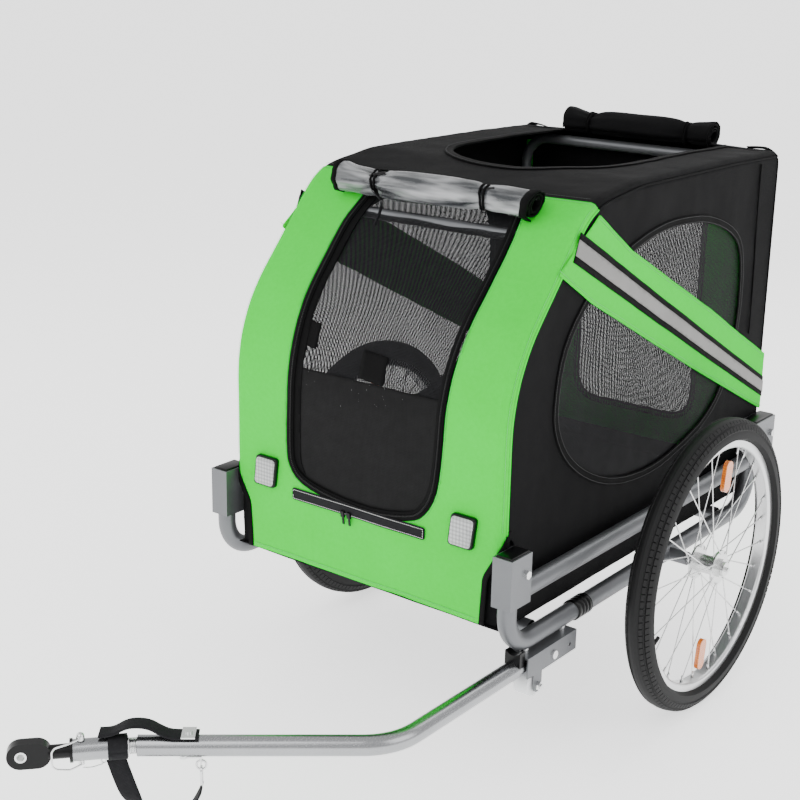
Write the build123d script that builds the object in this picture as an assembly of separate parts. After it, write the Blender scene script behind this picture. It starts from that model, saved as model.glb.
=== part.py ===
# Two-wheeled pet trailer for a bicycle: two side hoops joined by cross tubes, a folding cabin of two
# hoops dressed in fabric and mesh, quick-release 20 inch wheels and a cranked drawbar with a sprung hitch.
# Millimetres. +Z up, -Y towards the bicycle, +X the trailer's left, where the drawbar is.
import os
from math import atan2, cos, hypot, pi, radians, sin

from build123d import *

# ---- wheels -------------------------------------------------------------------------------------
wheel_radius = 246.0
tyre_width = 44.0
rim_radius = wheel_radius - 34.0
rim_depth = 16.0
rim_width = 25.0
rim_wall = 2.0
spoke_count = 28
spoke_dia = 2.0
hub_half_length = 26.0
hub_barrel_dia = 30.0
flange_dia = 58.0
flange_thickness = 3.0
flange_x = 19.0
axle_dia = 12.0
axle_head_dia = 24.0
axle_head_length = 5.0
button_dia = 8.0
button_proud = 5.0
button_travel = 4.0
button_depth = 22.0

# ---- running gaps -------------------------------------------------------------------------------
running_gap = 0.05
side_gap = 0.4
fabric_gap = 0.3

# ---- side hoops and base ------------------------------------------------------------------------
cabin_half_width = 257.0
rail_to_cabin = 3.0
wheel_to_rail = 78.0
rail_dia = 28.0
rail_wall = 1.8
rail_x = cabin_half_width + rail_to_cabin + rail_dia / 2
wheel_x = rail_x + wheel_to_rail
rail_low_z = wheel_radius
rail_high_z = rail_low_z + 84.0
rail_front_y = -466.0
rail_rear_y = 292.0
rail_bend = 56.0
cross_dia = 25.0
cross_wall = 1.6
socket_dia = 22.0
socket_out = rail_x + 42.0

# ---- cabin hoops --------------------------------------------------------------------------------
hoop_dia = 19.0
hoop_wall = 1.5
hoop_bend = 50.0
front_pivot_z = rail_high_z + 32.0
rear_pivot_z = rail_high_z + 42.0
front_top_y = -300.0
rear_top_y = 322.0
pivot_bolt_dia = 8.0

# ---- cabin fabric -------------------------------------------------------------------------------
fabric_thickness = 3.0
cabin_floor_z = rail_low_z + 20.0
cabin_front_y = -459.0
cabin_rear_y = 354.0
roof_z = cabin_floor_z + 610.0
brow_y = -268.0
brow_z = roof_z - 18.0
shoulder_z = cabin_floor_z + 374.0
floor_board = 6.0
door_half_width = 148.0
door_low_z = cabin_floor_z + 120.0
door_high_z = brow_z - 36.0
door_corner = 55.0
hatch_half_width = 158.0
hatch_front_y = -139.0
hatch_rear_y = 296.0
mesh_thickness = 1.2
band_thickness = 1.6

# ---- places that follow from the sizes above ----------------------------------------------------
skin = fabric_thickness + fabric_gap + hoop_dia / 2
hoop_x = cabin_half_width - skin
front_pivot_y = cabin_front_y + skin
rear_pivot_y = cabin_rear_y - skin - 2.0

# ---- drawbar and hitch --------------------------------------------------------------------------
bar_dia = 28.0
bar_wall = 2.0
bar_rear_y = -312.0
bar_bend_y = -716.0
bar_turn = 50.0
bar_reach = 332.0
bar_bend_radius = 90.0
channel_front_y = -433.0
channel_rear_y = -303.0
channel_wall = 2.5
channel_gap = 1.5
spacer_length = 6.0
channel_skirt = 14.0
bar_z = rail_low_z - rail_dia / 2 - spacer_length - channel_wall - channel_gap - bar_dia / 2
roller_dia = 38.0
roller_width = 26.0
roller_y = -405.0
roller_bolt_dia = 8.0
spring_gap = 12.0
spring_dia = 20.0
spring_wire = 2.6
sleeve_dia = bar_dia + 0.5
sleeve_wall = 2.2
head_turn = 41.0
sleeve_length = 70.0
collar_length = 4.0
stem_dia = 19.0
stem_shown = 27.0
block_length = 56.0
block_height = 36.0
block_width = 16.0
hitch_bore = 10.0
bush_wall = 2.5
hitch_pin_dia = 8.0
strap_width = 25.0
strap_thickness = 2.2

# ---- helpers ------------------------------------------------------------------------------------
pieces = {}


def keep(name, *solids):
    """Store one node: a single solid, or a group of separate solids."""
    whole = []
    for solid in solids:
        whole.extend(solid.solids())
    pieces[name] = whole[0] if len(whole) == 1 else Compound(whole)


def rod(start, end, radius):
    """A solid round bar between two points."""
    a, b = Vector(*start), Vector(*end)
    plane = Plane(origin=a, z_dir=b - a)
    return plane * Pos(0, 0, (b - a).length / 2) * Cylinder(radius, (b - a).length)


def pipe(start, end, outer_radius, inner_radius):
    """A straight round tube between two points."""
    a, b = Vector(*start), Vector(*end)
    plane = Plane(origin=a, z_dir=b - a)
    length = (b - a).length
    ring = Cylinder(outer_radius, length) - Cylinder(inner_radius, length + 2)
    return plane * Pos(0, 0, length / 2) * ring


def bent_rod(points, radii, radius):
    """A solid round bar along straight runs joined by tangent arcs."""
    path = FilletPolyline(*[Vector(*p) for p in points], radius=radii)
    section = Plane(origin=path @ 0, z_dir=path % 0) * Circle(radius)
    return sweep(section, path=path)


def bent_pipe(points, radii, dia, wall):
    """A round tube along straight runs joined by tangent arcs."""
    return bent_rod(points, radii, dia / 2) - bent_rod(points, radii, dia / 2 - wall)


def block(x, y, z):
    """A box between two limits on each axis."""
    return Pos(sum(x) / 2, sum(y) / 2, sum(z) / 2) * Box(x[1] - x[0], y[1] - y[0], z[1] - z[0])


def side_plate(outline, x_inner, thickness):
    """A plate standing in a YZ plane, from a closed sketch drawn with (y, z) as its (x, y)."""
    plane = Plane(origin=(x_inner, 0, 0), x_dir=(0, 1, 0), z_dir=(1, 0, 0))
    return extrude(plane * outline, amount=thickness)


def mirrored(solid):
    return mirror(solid, about=Plane.YZ)


def both_sides(name, *solids):
    """Store a left-hand node, and its mirror image as the right-hand one."""
    keep(name + "_left", *solids)
    keep(name + "_right", *[mirrored(s) for s in solids])


# ---- wheels: tyre, rim, laced spokes, hub, quick-release axle -----------------------------------
def wheel_disc(radius, x_from, x_to):
    return rod((x_from, 0, wheel_radius), (x_to, 0, wheel_radius), radius)


def make_wheel():
    centre = Pos(wheel_x, 0, wheel_radius) * Rot(0, 90, 0)
    crown = tyre_width / 2
    bead = rim_width / 2 - rim_wall
    casing = Ellipse(wheel_radius - rim_radius - 1.0, crown)
    casing = Pos(rim_radius + 1.0, 0) * casing
    casing = casing & (Pos(rim_radius + crown * 1.5, 0) * Rectangle(crown * 3, tyre_width * 2))
    section = Plane.XZ * casing
    tyre = centre * revolve(section, axis=Axis.Z)

    channel = Pos(rim_radius - rim_depth / 2, 0) * Rectangle(rim_depth, rim_width)
    channel = fillet(channel.vertices().group_by(Axis.X)[0], radius=5.0)
    well = Pos(rim_radius - rim_depth / 2 + rim_wall / 2, 0)
    well = well * Rectangle(rim_depth - rim_wall, 2 * bead)
    well = fillet(well.vertices().group_by(Axis.X)[0], radius=4.0)
    rim = centre * revolve(Plane.XZ * (channel - well), axis=Axis.Z)

    barrel = wheel_disc(hub_barrel_dia / 2, wheel_x - hub_half_length, wheel_x + hub_half_length)
    for side in (-1, 1):
        middle = wheel_x + side * flange_x
        barrel += wheel_disc(flange_dia / 2, middle - flange_thickness / 2, middle + flange_thickness / 2)
    bore = wheel_disc(axle_dia / 2 + running_gap, 0, wheel_x * 2)
    hub = barrel - bore

    spokes = []
    hole_circle = flange_dia / 2 - 4.0
    seat = rim_radius - rim_depth - 0.3
    per_flange = spoke_count // 2
    lace = 2 * 360.0 / spoke_count
    for index in range(spoke_count):
        side = 1 if index % 2 else -1
        rank = index // 2
        lean = lace if rank % 2 else -lace
        proud = flange_thickness / 2 + spoke_dia / 2 + 0.7
        proud = proud if rank % 2 else -proud
        root = radians((rank + 0.5) * 360.0 / per_flange + side * 360.0 / spoke_count / 2)
        tip = radians((rank + 0.5) * 360.0 / per_flange + side * 360.0 / spoke_count / 2 + lean)
        x = wheel_x + side * flange_x + proud
        start = (x, hole_circle * cos(root), wheel_radius + hole_circle * sin(root))
        end_x = wheel_x + side * 3.0 + proud * 0.6
        end = (end_x, seat * cos(tip), wheel_radius + seat * sin(tip))
        spokes.append(rod(start, end, spoke_dia / 2))
    return tyre, rim, hub, spokes


tyre, rim, hub, spokes = make_wheel()
both_sides("tyre", tyre)
both_sides("rim", rim)
both_sides("hub", hub)
both_sides("spokes", *spokes)

hub_face = wheel_x + hub_half_length
head_face = hub_face + side_gap + axle_head_length
axle = wheel_disc(axle_dia / 2, rail_x - rail_dia / 2 - 8.0, hub_face + side_gap)
axle += wheel_disc(axle_head_dia / 2, hub_face + side_gap, head_face)
axle -= wheel_disc(button_dia / 2 + running_gap, head_face - button_depth, head_face + 1)
both_sides("quick_release_axle", axle)
button = wheel_disc(button_dia / 2, head_face - button_depth + button_travel + 1, head_face + button_proud)
both_sides("release_button", button)

reflector_r = 150.0
reflector_outline = SlotOverall(52.0, 22.0)


def spoke_reflector(angle):
    plate = extrude(reflector_outline, amount=7.0)
    place = Pos(wheel_x + 6.0, 0, wheel_radius) * Rot(angle, 0, 0) * Pos(0, reflector_r, 0)
    return place * Rot(0, 90, 0) * Rot(0, 0, 90) * plate


both_sides("spoke_reflectors", spoke_reflector(82.0), spoke_reflector(-98.0))

# ---- base: lower rails, upper rails, cross tubes, axle sockets ----------------------------------
lower_route = [
    (rail_x, rail_front_y, rail_high_z + 6.0),
    (rail_x, rail_front_y, rail_low_z),
    (rail_x, rail_rear_y, rail_low_z),
    (rail_x, rail_rear_y, rail_high_z + 6.0),
]
rail_radius = rail_dia / 2
lower_rail = bent_pipe(lower_route, rail_bend, rail_dia, rail_wall)
socket_hole = rod((rail_x - 40, 0, wheel_radius), (rail_x + 60, 0, wheel_radius), socket_dia / 2)
lower_rail = lower_rail - socket_hole
both_sides("lower_rail", lower_rail)
upper_rail = pipe(
    (rail_x, rail_front_y + rail_radius, rail_high_z),
    (rail_x, rail_rear_y - rail_radius, rail_high_z),
    rail_radius,
    rail_radius - rail_wall,
)
keep("upper_rails", upper_rail, mirrored(upper_rail))
socket_in = rail_x - rail_radius
socket = pipe(
    (socket_in, 0, wheel_radius),
    (socket_out, 0, wheel_radius),
    socket_dia / 2,
    axle_dia / 2 + running_gap,
)
keep("axle_sockets", socket, mirrored(socket))
cross_end = rail_x - rail_radius
cross_tubes = []
for cross_y in (-380.0, 0.0, 210.0):
    ends = ((-cross_end, cross_y, rail_low_z), (cross_end, cross_y, rail_low_z))
    cross_tubes.append(pipe(*ends, cross_dia / 2, cross_dia / 2 - cross_wall))
keep("cross_tubes", *cross_tubes)


# ---- corner brackets with their pivot bolts -----------------------------------------------------
bracket_wall = 2.5
bracket_half = rail_dia / 2 + bracket_wall


def corner_bracket(pivot_y, pivot_z, rail_y, outward):
    """A folded channel over the rail's end, which carries the pivot bolt of the hoop beside it."""
    low, high = rail_high_z - 14.0, pivot_z + 30.0
    ends = (rail_y - bracket_half, rail_y + rail_dia / 2, pivot_y - 14.0, pivot_y + 14.0)
    y = (min(ends), max(ends)) if outward < 0 else (rail_y - rail_dia / 2, max(ends))
    x = (rail_x - bracket_half, rail_x + bracket_half)
    shell = block(x, y, (low, high))
    hollow_y = (y[0] + bracket_wall, y[1] + 1) if outward < 0 else (y[0] - 1, y[1] - bracket_wall)
    shell -= block((x[0] + bracket_wall, x[1] - bracket_wall), hollow_y, (low - 1, high + 1))
    shell -= rod((0, pivot_y, pivot_z), (2 * rail_x, pivot_y, pivot_z), pivot_bolt_dia / 2)
    inner_end = hoop_x - hoop_dia / 2
    bolt = rod((inner_end - 4.0, pivot_y, pivot_z), (x[1] + 3, pivot_y, pivot_z), pivot_bolt_dia / 2)
    for start, length in ((inner_end - 4.5, 4.0), (x[1], 5.0)):
        head = extrude(RegularPolygon(6.5, 6), amount=length)
        bolt += Pos(start, pivot_y, pivot_z) * Rot(0, 90, 0) * head
    return shell, bolt


front_bracket, front_bolt = corner_bracket(front_pivot_y, front_pivot_z, rail_front_y, -1)
rear_bracket, rear_bolt = corner_bracket(rear_pivot_y, rear_pivot_z, rail_rear_y, 1)
keep("front_brackets", front_bracket, mirrored(front_bracket))
keep("rear_brackets", rear_bracket, mirrored(rear_bracket))
keep("pivot_bolts", front_bolt, mirrored(front_bolt), rear_bolt, mirrored(rear_bolt))

# ---- cabin hoops --------------------------------------------------------------------------------
brow_slope = atan2(brow_z - shoulder_z, brow_y - cabin_front_y)
rise = brow_z - shoulder_z
run = brow_y - cabin_front_y
shoulder_radius = 250.0
lift = skin * (1.0 - sin(brow_slope)) / cos(brow_slope)
hoop_shoulder_z = shoulder_z - lift
front_top_z = hoop_shoulder_z + (front_top_y - front_pivot_y) * rise / run
roof_drop = 11.0
rear_top_z = roof_z - roof_drop - skin - 2.0
foot = 12.0


def cabin_hoop(half_route, radii, pivot_y, pivot_z):
    route = half_route + [(-x, y, z) for x, y, z in reversed(half_route)]
    hoop = bent_pipe(route, radii + radii[::-1], hoop_dia, hoop_wall)
    bolt_ends = ((-rail_x, pivot_y, pivot_z), (rail_x, pivot_y, pivot_z))
    return hoop - rod(*bolt_ends, pivot_bolt_dia / 2 + running_gap)


front_half = [
    (hoop_x, front_pivot_y, front_pivot_z - foot),
    (hoop_x, front_pivot_y, hoop_shoulder_z),
    (hoop_x, front_top_y, front_top_z),
]
keep("front_hoop", cabin_hoop(front_half, [shoulder_radius - skin, hoop_bend], front_pivot_y, front_pivot_z))
rear_half = [
    (hoop_x, rear_pivot_y, rear_pivot_z - foot),
    (hoop_x, rear_pivot_y, rear_pivot_z + foot + 20.0),
    (hoop_x, rear_top_y, rear_top_z),
]
keep("rear_hoop", cabin_hoop(rear_half, [60.0, hoop_bend], rear_pivot_y, rear_pivot_z))

# ---- cabin fabric: one skin, cut into its panels ------------------------------------------------
profile = Polyline(
    (cabin_rear_y, cabin_floor_z),
    (cabin_rear_y - 4.0, roof_z - roof_drop),
    (160.0, roof_z),
    (-129.0, roof_z),
    (brow_y, brow_z),
    (cabin_front_y, shoulder_z),
    (cabin_front_y, cabin_floor_z),
    close=True,
)
outline = make_face(profile)


def rounded(face, y, z, radius):
    corner = min(face.vertices(), key=lambda v: hypot(v.X - y, v.Y - z))
    return fillet(corner, radius=radius)


outline = rounded(outline, cabin_rear_y - 4.0, roof_z - roof_drop, 25.0)
outline = rounded(outline, brow_y, brow_z, 120.0)
outline = rounded(outline, cabin_front_y, shoulder_z, shoulder_radius)
inside = offset(outline, amount=-fabric_thickness, kind=Kind.INTERSECTION)
seam = cabin_half_width - fabric_thickness
wrap = side_plate(outline - inside, -seam, 2 * seam)
floor_top = cabin_floor_z + fabric_thickness
roof_front_y = -253.0
across = (-cabin_half_width - 50.0, cabin_half_width + 50.0)
ahead_y = cabin_front_y - 150.0
behind_y = cabin_rear_y + 250.0
above_z = roof_z + 120.0
walls = wrap & block(across, (ahead_y, behind_y), (floor_top, above_z))
front_zone = block(across, (ahead_y, roof_front_y), (floor_top, above_z))
rear_zone = block(across, (cabin_rear_y - 40.0, behind_y), (floor_top, roof_z - roof_drop - 24.0))

door_corner_spare = door_corner + 5.0
door_shape = RectangleRounded(2 * door_half_width, door_high_z - door_low_z + door_corner_spare, door_corner)
door_middle_z = (door_low_z + door_high_z + door_corner_spare) / 2
door_cut = extrude(Plane.XZ * Pos(0, door_middle_z) * door_shape, amount=-ahead_y)
door_cut &= block(across, (ahead_y, 0), (0, door_high_z))
foot_half = cabin_half_width - 34.0
taper = Plane.XZ * make_face(
    Polyline(
        (-seam - 1, above_z),
        (seam + 1, above_z),
        (seam + 1, front_pivot_z + 45),
        (foot_half, front_pivot_z - 30),
        (foot_half, 0),
        (-foot_half, 0),
        (-foot_half, front_pivot_z - 30),
        (-seam - 1, front_pivot_z + 45),
        close=True,
    )
)
taper = extrude(taper, amount=-ahead_y)
front = walls & front_zone
keep("front_panel", (front & taper) - door_cut)
rear = walls & rear_zone
keep("rear_panel", rear)
hatch_straight = hatch_rear_y - hatch_front_y - hatch_half_width
nose = Pos(0, hatch_front_y + hatch_half_width) * Circle(hatch_half_width)
back_part = Pos(0, (hatch_front_y + hatch_half_width + hatch_rear_y) / 2)
back_part = back_part * Rectangle(2 * hatch_half_width, hatch_straight)
hatch_cut = extrude(nose + back_part, amount=above_z)
roof = (walls - front_zone) - rear_zone
keep("roof_panel", roof - hatch_cut)
door_face = (front & taper) & door_cut
keep("door_mesh", door_face)

window_points = [
    (-144, 508),
    (-40, 528),
    (90, 521),
    (195, 482),
    (232, 424),
    (234, 308),
    (187, 209),
    (100, 158),
    (-40, 132),
    (-176, 151),
    (-285, 210),
    (-334, 289),
    (-318, 389),
    (-240, 469),
]
window_shape = Pos(0, cabin_floor_z) * make_face(Spline(*window_points, periodic=True))
side_face = side_plate(outline, seam, fabric_thickness)
side_face -= block((0, across[1]), (ahead_y, front_pivot_y + 18), (0, front_pivot_z + 36))
bolt_ends = ((0, rear_pivot_y, rear_pivot_z), (rail_x, rear_pivot_y, rear_pivot_z))
side_face -= rod(*bolt_ends, pivot_bolt_dia / 2 + 0.6)
window_cut = side_plate(window_shape, seam - 1, fabric_thickness + 2)
side_panel = side_face - window_cut
keep("side_panels", side_panel, mirrored(side_panel))
mesh = side_plate(window_shape, seam + 1.0, mesh_thickness)
keep("side_windows", mesh, mirrored(mesh))

band_outline = Polyline(
    (-249, 573),
    (-146, 506),
    (128, 366),
    (cabin_rear_y - 3.5, 245),
    (cabin_rear_y - 3.0, 142),
    (67, 282),
    (-257, 446),
    (-348, 502),
    close=True,
)
band = side_plate(Pos(0, cabin_floor_z) * make_face(band_outline), cabin_half_width, band_thickness)
keep("side_bands", band, mirrored(band))

floor_y = (cabin_front_y + fabric_thickness + fabric_gap, cabin_rear_y - fabric_thickness - fabric_gap)
floor_half = hoop_x - hoop_dia / 2 - 8.0
keep("floor_board", block((-floor_half, floor_half), floor_y, (floor_top, floor_top + floor_board)))
under = block((-seam, seam), (cabin_front_y, cabin_rear_y), (cabin_floor_z, floor_top))
keep("floor_fabric", under)
pad_low = floor_top + floor_board
pad_y = (floor_y[0] + 12.0, floor_y[1] - 12.0)
pad_inset = 12.0
pad_thickness = 14.0
pad_half = floor_half - pad_inset
keep("floor_pad", block((-pad_half, pad_half), pad_y, (pad_low, pad_low + pad_thickness)))

# ---- rolled covers, tie loops, reflectors and closure strip on the cabin ------------------------
roll_radius = 17.0
roll_y = brow_y - 16.0 - roll_radius * 0.5
roll_z = brow_z - 10.0 + roll_radius * 0.7
keep("rain_cover_roll", rod((-188, roll_y, roll_z), (168, roll_y, roll_z), roll_radius))
hatch_roll_radius = 22.0
hatch_roll_z = roof_z - roof_drop + hatch_roll_radius + 3.0
hatch_roll_y = 322.0
hatch_roll_half = hatch_half_width - 8.0
hatch_roll_ends = (
    (-hatch_roll_half, hatch_roll_y, hatch_roll_z),
    (hatch_roll_half, hatch_roll_y, hatch_roll_z),
)
keep("hatch_cover_roll", rod(*hatch_roll_ends, hatch_roll_radius))

reflector_plan = RectangleRounded(44.0, 50.0, 6.0)


def front_reflector(x):
    body = extrude(Plane.XZ * Pos(x, cabin_floor_z + 139.0) * reflector_plan, amount=7.0)
    return Pos(0, cabin_front_y, 0) * body


reflector_x = cabin_half_width - 67.0
keep("front_reflectors", front_reflector(-reflector_x), front_reflector(reflector_x))

# ---- drawbar bracket: inverted channel hung under the left lower rail ---------------------------
bar_radius = bar_dia / 2
channel_top = bar_z + bar_radius + channel_gap + channel_wall
channel_half = bar_radius + 2.0 + channel_wall
channel_low = bar_z - channel_skirt
channel = block(
    (rail_x - channel_half, rail_x + channel_half),
    (channel_front_y, channel_rear_y),
    (channel_low, channel_top),
)
ear = 10.0
roller_z = bar_z - bar_radius - roller_dia / 2 - 1.5
ears = block(
    (rail_x - channel_half, rail_x + channel_half),
    (roller_y - ear, roller_y + ear),
    (roller_z, channel_low),
)
ears += rod((rail_x - channel_half, roller_y, roller_z), (rail_x + channel_half, roller_y, roller_z), ear)
channel = channel + ears
channel -= block(
    (rail_x - channel_half + channel_wall, rail_x + channel_half - channel_wall),
    (channel_front_y - 1, channel_rear_y + 1),
    (0, channel_top - channel_wall),
)
bar_bolt_y = -365.0
bar_bolt_dia = 8.0
spare_hole_y = -321.0
spare_hole_dia = 6.5
cut_in = rail_x - 2 * channel_half
cut_out = rail_x + 2 * channel_half
cross_holes = (
    (bar_bolt_y, bar_z, bar_bolt_dia / 2),
    (spare_hole_y, bar_z, spare_hole_dia / 2),
    (roller_y, roller_z, roller_bolt_dia / 2),
)
for y, z, radius in cross_holes:
    channel -= rod((cut_in, y, z), (cut_out, y, z), radius)
hang_ys = (channel_front_y + 16.0, channel_rear_y - 16.0)
screw_radius = 3.0
for y in hang_ys:
    channel -= rod((rail_x, y, channel_top - 5), (rail_x, y, channel_top + 1), screw_radius)
keep("drawbar_bracket", channel)
screws = []
rail_bottom = rail_low_z - rail_radius
rail_solid = rod((rail_x, channel_front_y, rail_low_z), (rail_x, channel_rear_y, rail_low_z), rail_radius)
for y in hang_ys:
    screw = rod((rail_x, y, channel_top - channel_wall), (rail_x, y, rail_bottom - 0.5), screw_radius)
    screw += rod((rail_x, y, channel_top - channel_wall - 1.0), (rail_x, y, channel_top - channel_wall), 5.0)
    spacer = pipe((rail_x, y, channel_top), (rail_x, y, rail_bottom + 3.0), 7.0, screw_radius)
    screws += [screw, spacer - rail_solid]
keep("bracket_screws", *screws)
bolt_in = rail_x - channel_half
bolt_out = rail_x + channel_half
bar_bolt = rod((bolt_in, bar_bolt_y, bar_z), (bolt_out, bar_bolt_y, bar_z), bar_bolt_dia / 2)
bar_bolt += rod((bolt_in - 4, bar_bolt_y, bar_z), (bolt_in, bar_bolt_y, bar_z), 6.5)
bar_bolt += rod((bolt_out, bar_bolt_y, bar_z), (bolt_out + 3.5, bar_bolt_y, bar_z), 6.5)
keep("drawbar_bolt", bar_bolt)
roller_bolt = rod((bolt_in - 4, roller_y, roller_z), (bolt_out + 8, roller_y, roller_z), roller_bolt_dia / 2)
for start in (bolt_in - 5.0, bolt_out):
    nut = extrude(RegularPolygon(7.0, 6), amount=5.0)
    roller_bolt += Pos(start, roller_y, roller_z) * Rot(0, 90, 0) * nut
keep("roller_bolt", roller_bolt)
roller_in = rail_x - roller_width / 2
roller = rod((roller_in, roller_y, roller_z), (roller_in + roller_width, roller_y, roller_z), roller_dia / 2)
roller -= rod((cut_in, roller_y, roller_z), (cut_out, roller_y, roller_z), roller_bolt_dia / 2 + running_gap)
roller = fillet(roller.edges().filter_by(GeomType.CIRCLE).group_by(SortBy.RADIUS)[-1], radius=3.0)
keep("roller", roller)
saddle = block(
    (rail_x - 13.0, rail_x + 13.0),
    (channel_front_y - 14.0, channel_front_y - 1.0),
    (bar_z, rail_low_z),
)
saddle_ys = (channel_front_y - 20.0, channel_front_y)
saddle -= rod((rail_x, saddle_ys[0], bar_z), (rail_x, saddle_ys[1], bar_z), bar_radius)
saddle -= rod((rail_x, saddle_ys[0], rail_low_z), (rail_x, saddle_ys[1], rail_low_z), rail_radius + 0.2)
keep("drawbar_saddle", saddle & block((0, cut_out), saddle_ys, (bar_z + 6, rail_low_z - 9)))

# ---- drawbar: one cranked tube ------------------------------------------------------------------
turn = radians(bar_turn)
head = radians(head_turn)
bar_end = (rail_x - bar_reach * sin(turn), bar_bend_y - bar_reach * cos(turn), bar_z)
bar_route = [(rail_x, bar_rear_y, bar_z), (rail_x, bar_bend_y, bar_z), bar_end]
bar_path = FilletPolyline(*[Vector(*p) for p in bar_route], radius=bar_bend_radius)
bar_start = Plane(origin=bar_path @ 0, z_dir=bar_path % 0)
drawbar = sweep(bar_start * Circle(bar_radius), path=bar_path)
drawbar -= sweep(bar_start * Circle(bar_radius - bar_wall), path=bar_path)
drawbar -= rod((cut_in, bar_bolt_y, bar_z), (cut_out, bar_bolt_y, bar_z), bar_bolt_dia / 2)


def along_bar(distance, side=0.0, up=0.0):
    """A point measured back from the drawbar's end, along its front run."""
    return (
        bar_end[0] + distance * sin(turn) + side * cos(turn),
        bar_end[1] + distance * cos(turn) - side * sin(turn),
        bar_z + up,
    )


ring_back = 58.0
drawbar -= rod(along_bar(ring_back, 0, -30), along_bar(ring_back, 0, 30), 3.0)
keep("drawbar", drawbar)

# ---- sprung hitch: spring, sleeve, collar, stem, coupler block, bush, locking pin ---------------
hinge = Vector(*along_bar(-spring_gap / 2))
head_plane = Plane(origin=hinge, x_dir=(cos(head), -sin(head), 0), z_dir=(-sin(head), -cos(head), 0))


def on_head(solid):
    """Place a piece drawn with the hitch's centreline along +Z, from the middle of the spring."""
    return head_plane * solid


def bored(outer_radius, inner_radius, low, high):
    tube = Pos(0, 0, (low + high) / 2) * Cylinder(outer_radius, high - low)
    if inner_radius:
        tube -= Pos(0, 0, (low + high) / 2) * Cylinder(inner_radius, high - low + 2)
    return tube


half_gap = spring_gap / 2
sleeve_end = half_gap + sleeve_length
collar_end = sleeve_end + collar_length
neck_end = collar_end + stem_shown
coils = 4
rings = []
for index in range(coils):
    place = -half_gap + spring_wire / 2 + index * (spring_gap - spring_wire) / (coils - 1)
    rings.append(Pos(0, 0, place) * Torus(spring_dia / 2, spring_wire / 2))
spring = bored(spring_dia / 2, spring_dia / 2 - spring_wire, -half_gap, half_gap)
keep("hitch_spring", on_head(spring + rings[0] + rings[1] + rings[2] + rings[3]))
sleeve = bored(sleeve_dia / 2, sleeve_dia / 2 - sleeve_wall, half_gap, sleeve_end)
pin_at = sleeve_end - 10.0
pin_tool = Pos(0, 0, pin_at) * Rot(90, 0, 0) * Cylinder(hitch_pin_dia / 2, 80)
keep("hitch_sleeve", on_head(sleeve - pin_tool))
keep("hitch_collar", on_head(bored(sleeve_dia / 2 + 1.5, stem_dia / 2, sleeve_end, collar_end)))
stem = bored(stem_dia / 2, 0, sleeve_end - 40.0, neck_end)
stem -= pin_tool
coupler = extrude(SlotOverall(block_length, block_height), amount=block_width / 2, both=True)
coupler_low = neck_end - 4.0
bore_at = coupler_low + block_length - block_height / 2
coupler = Pos(0, 0, coupler_low + block_length / 2) * Rot(0, -90, 0) * coupler
recess = Pos(0, 0, bore_at) * Rot(0, 90, 0) * Cylinder(hitch_bore / 2 + bush_wall, 4 * block_width)
coupler = coupler + stem - recess
keep("coupler", on_head(coupler))
bush = bored(hitch_bore / 2 + bush_wall, hitch_bore / 2, -block_width / 2 - 1.0, block_width / 2 + 1.0)
keep("coupler_bush", on_head(Pos(0, 0, bore_at) * Rot(0, 90, 0) * bush))

pin_top = sleeve_dia / 2 + 8.0
pin = Pos(0, 0, pin_at) * Rot(90, 0, 0) * Cylinder(hitch_pin_dia / 2, 2 * pin_top - 4.0)
knob_radius = 5.5
knob_middle = pin_top - 3.0
pin += Pos(0, knob_middle - 2.0, pin_at) * Rot(90, 0, 0) * Cylinder(knob_radius, 4.0)
pin += Pos(0, knob_middle, pin_at) * Sphere(knob_radius)
keep("hitch_pin", on_head(pin))
bail_height = pin_top - 3.0
bail_out = sleeve_dia / 2 + 3.0
bail_route = [
    (6.9, bail_height, pin_at),
    (bail_out, bail_height, pin_at + 14.0),
    (bail_out, bail_height - 6.0, pin_at + 36.0),
    (bail_out, 4.0 - bail_height, pin_at + 36.0),
    (bail_out, 1.0 - bail_height, pin_at + 14.0),
    (5.6, 1.0 - bail_height, pin_at),
]
keep("pin_bail", on_head(bent_rod(bail_route, [9.0, 9.0, 9.0, 9.0], 1.2)))
eye_at = 38.0
eye_y = -sleeve_dia / 2 - 4.2
tether_eye = on_head(Pos(0, eye_y, eye_at) * Rot(0, 90, 0) * Torus(3.0, 1.0))
tether_low = eye_y - 4.6
tether_route = [
    (0, tether_low, eye_at + 1.0),
    (2.0, tether_low - 3.0, eye_at + 16.0),
    (7.0, tether_low + 1.0, pin_at - 2.0),
]
keep("pin_tether", tether_eye, on_head(bent_rod(tether_route, [20.0], 0.8)))

# ---- safety strap: crimp plate, top run, wrap round the sleeve, hanging run, snap hook ----------
wrap_at = 19.5
wrap_outer = sleeve_dia / 2 + strap_thickness
keep(
    "strap_wrap",
    on_head(bored(wrap_outer, sleeve_dia / 2, wrap_at - strap_width / 2, wrap_at + strap_width / 2)),
)
crimp_back = 66.0
strap_line = FilletPolyline(
    (78.0, bar_radius + 1.4),
    (38.0, bar_radius + 2.0),
    (16.0, bar_radius + 17.0),
    (-12.0, bar_radius + 17.0),
    (-34.0, bar_radius + 5.5),
    (-48.0, bar_radius + 5.5),
    radius=[30.0, 24.0, 24.0, 16.0],
)
bar_plane = Plane(
    origin=bar_end,
    x_dir=(sin(turn), cos(turn), 0),
    z_dir=(cos(turn), -sin(turn), 0),
)
strap_face = trace(strap_line, line_width=strap_thickness)
strap_top = extrude(bar_plane * strap_face, amount=strap_width / 2, both=True)
keep("strap_top", strap_top)
crimp_low = bar_radius + 1.4 + strap_thickness / 2 + 0.6
crimp = block((crimp_back - 9.0, crimp_back + 9.0), (crimp_low, crimp_low + 1.8), (-14.0, 14.0))
crimp += Pos(crimp_back, crimp_low + 3.0, 0) * Rot(90, 0, 0) * Cylinder(4.5, 2.6)
keep("strap_crimp", bar_plane * crimp)
ring_low = -bar_radius
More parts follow.
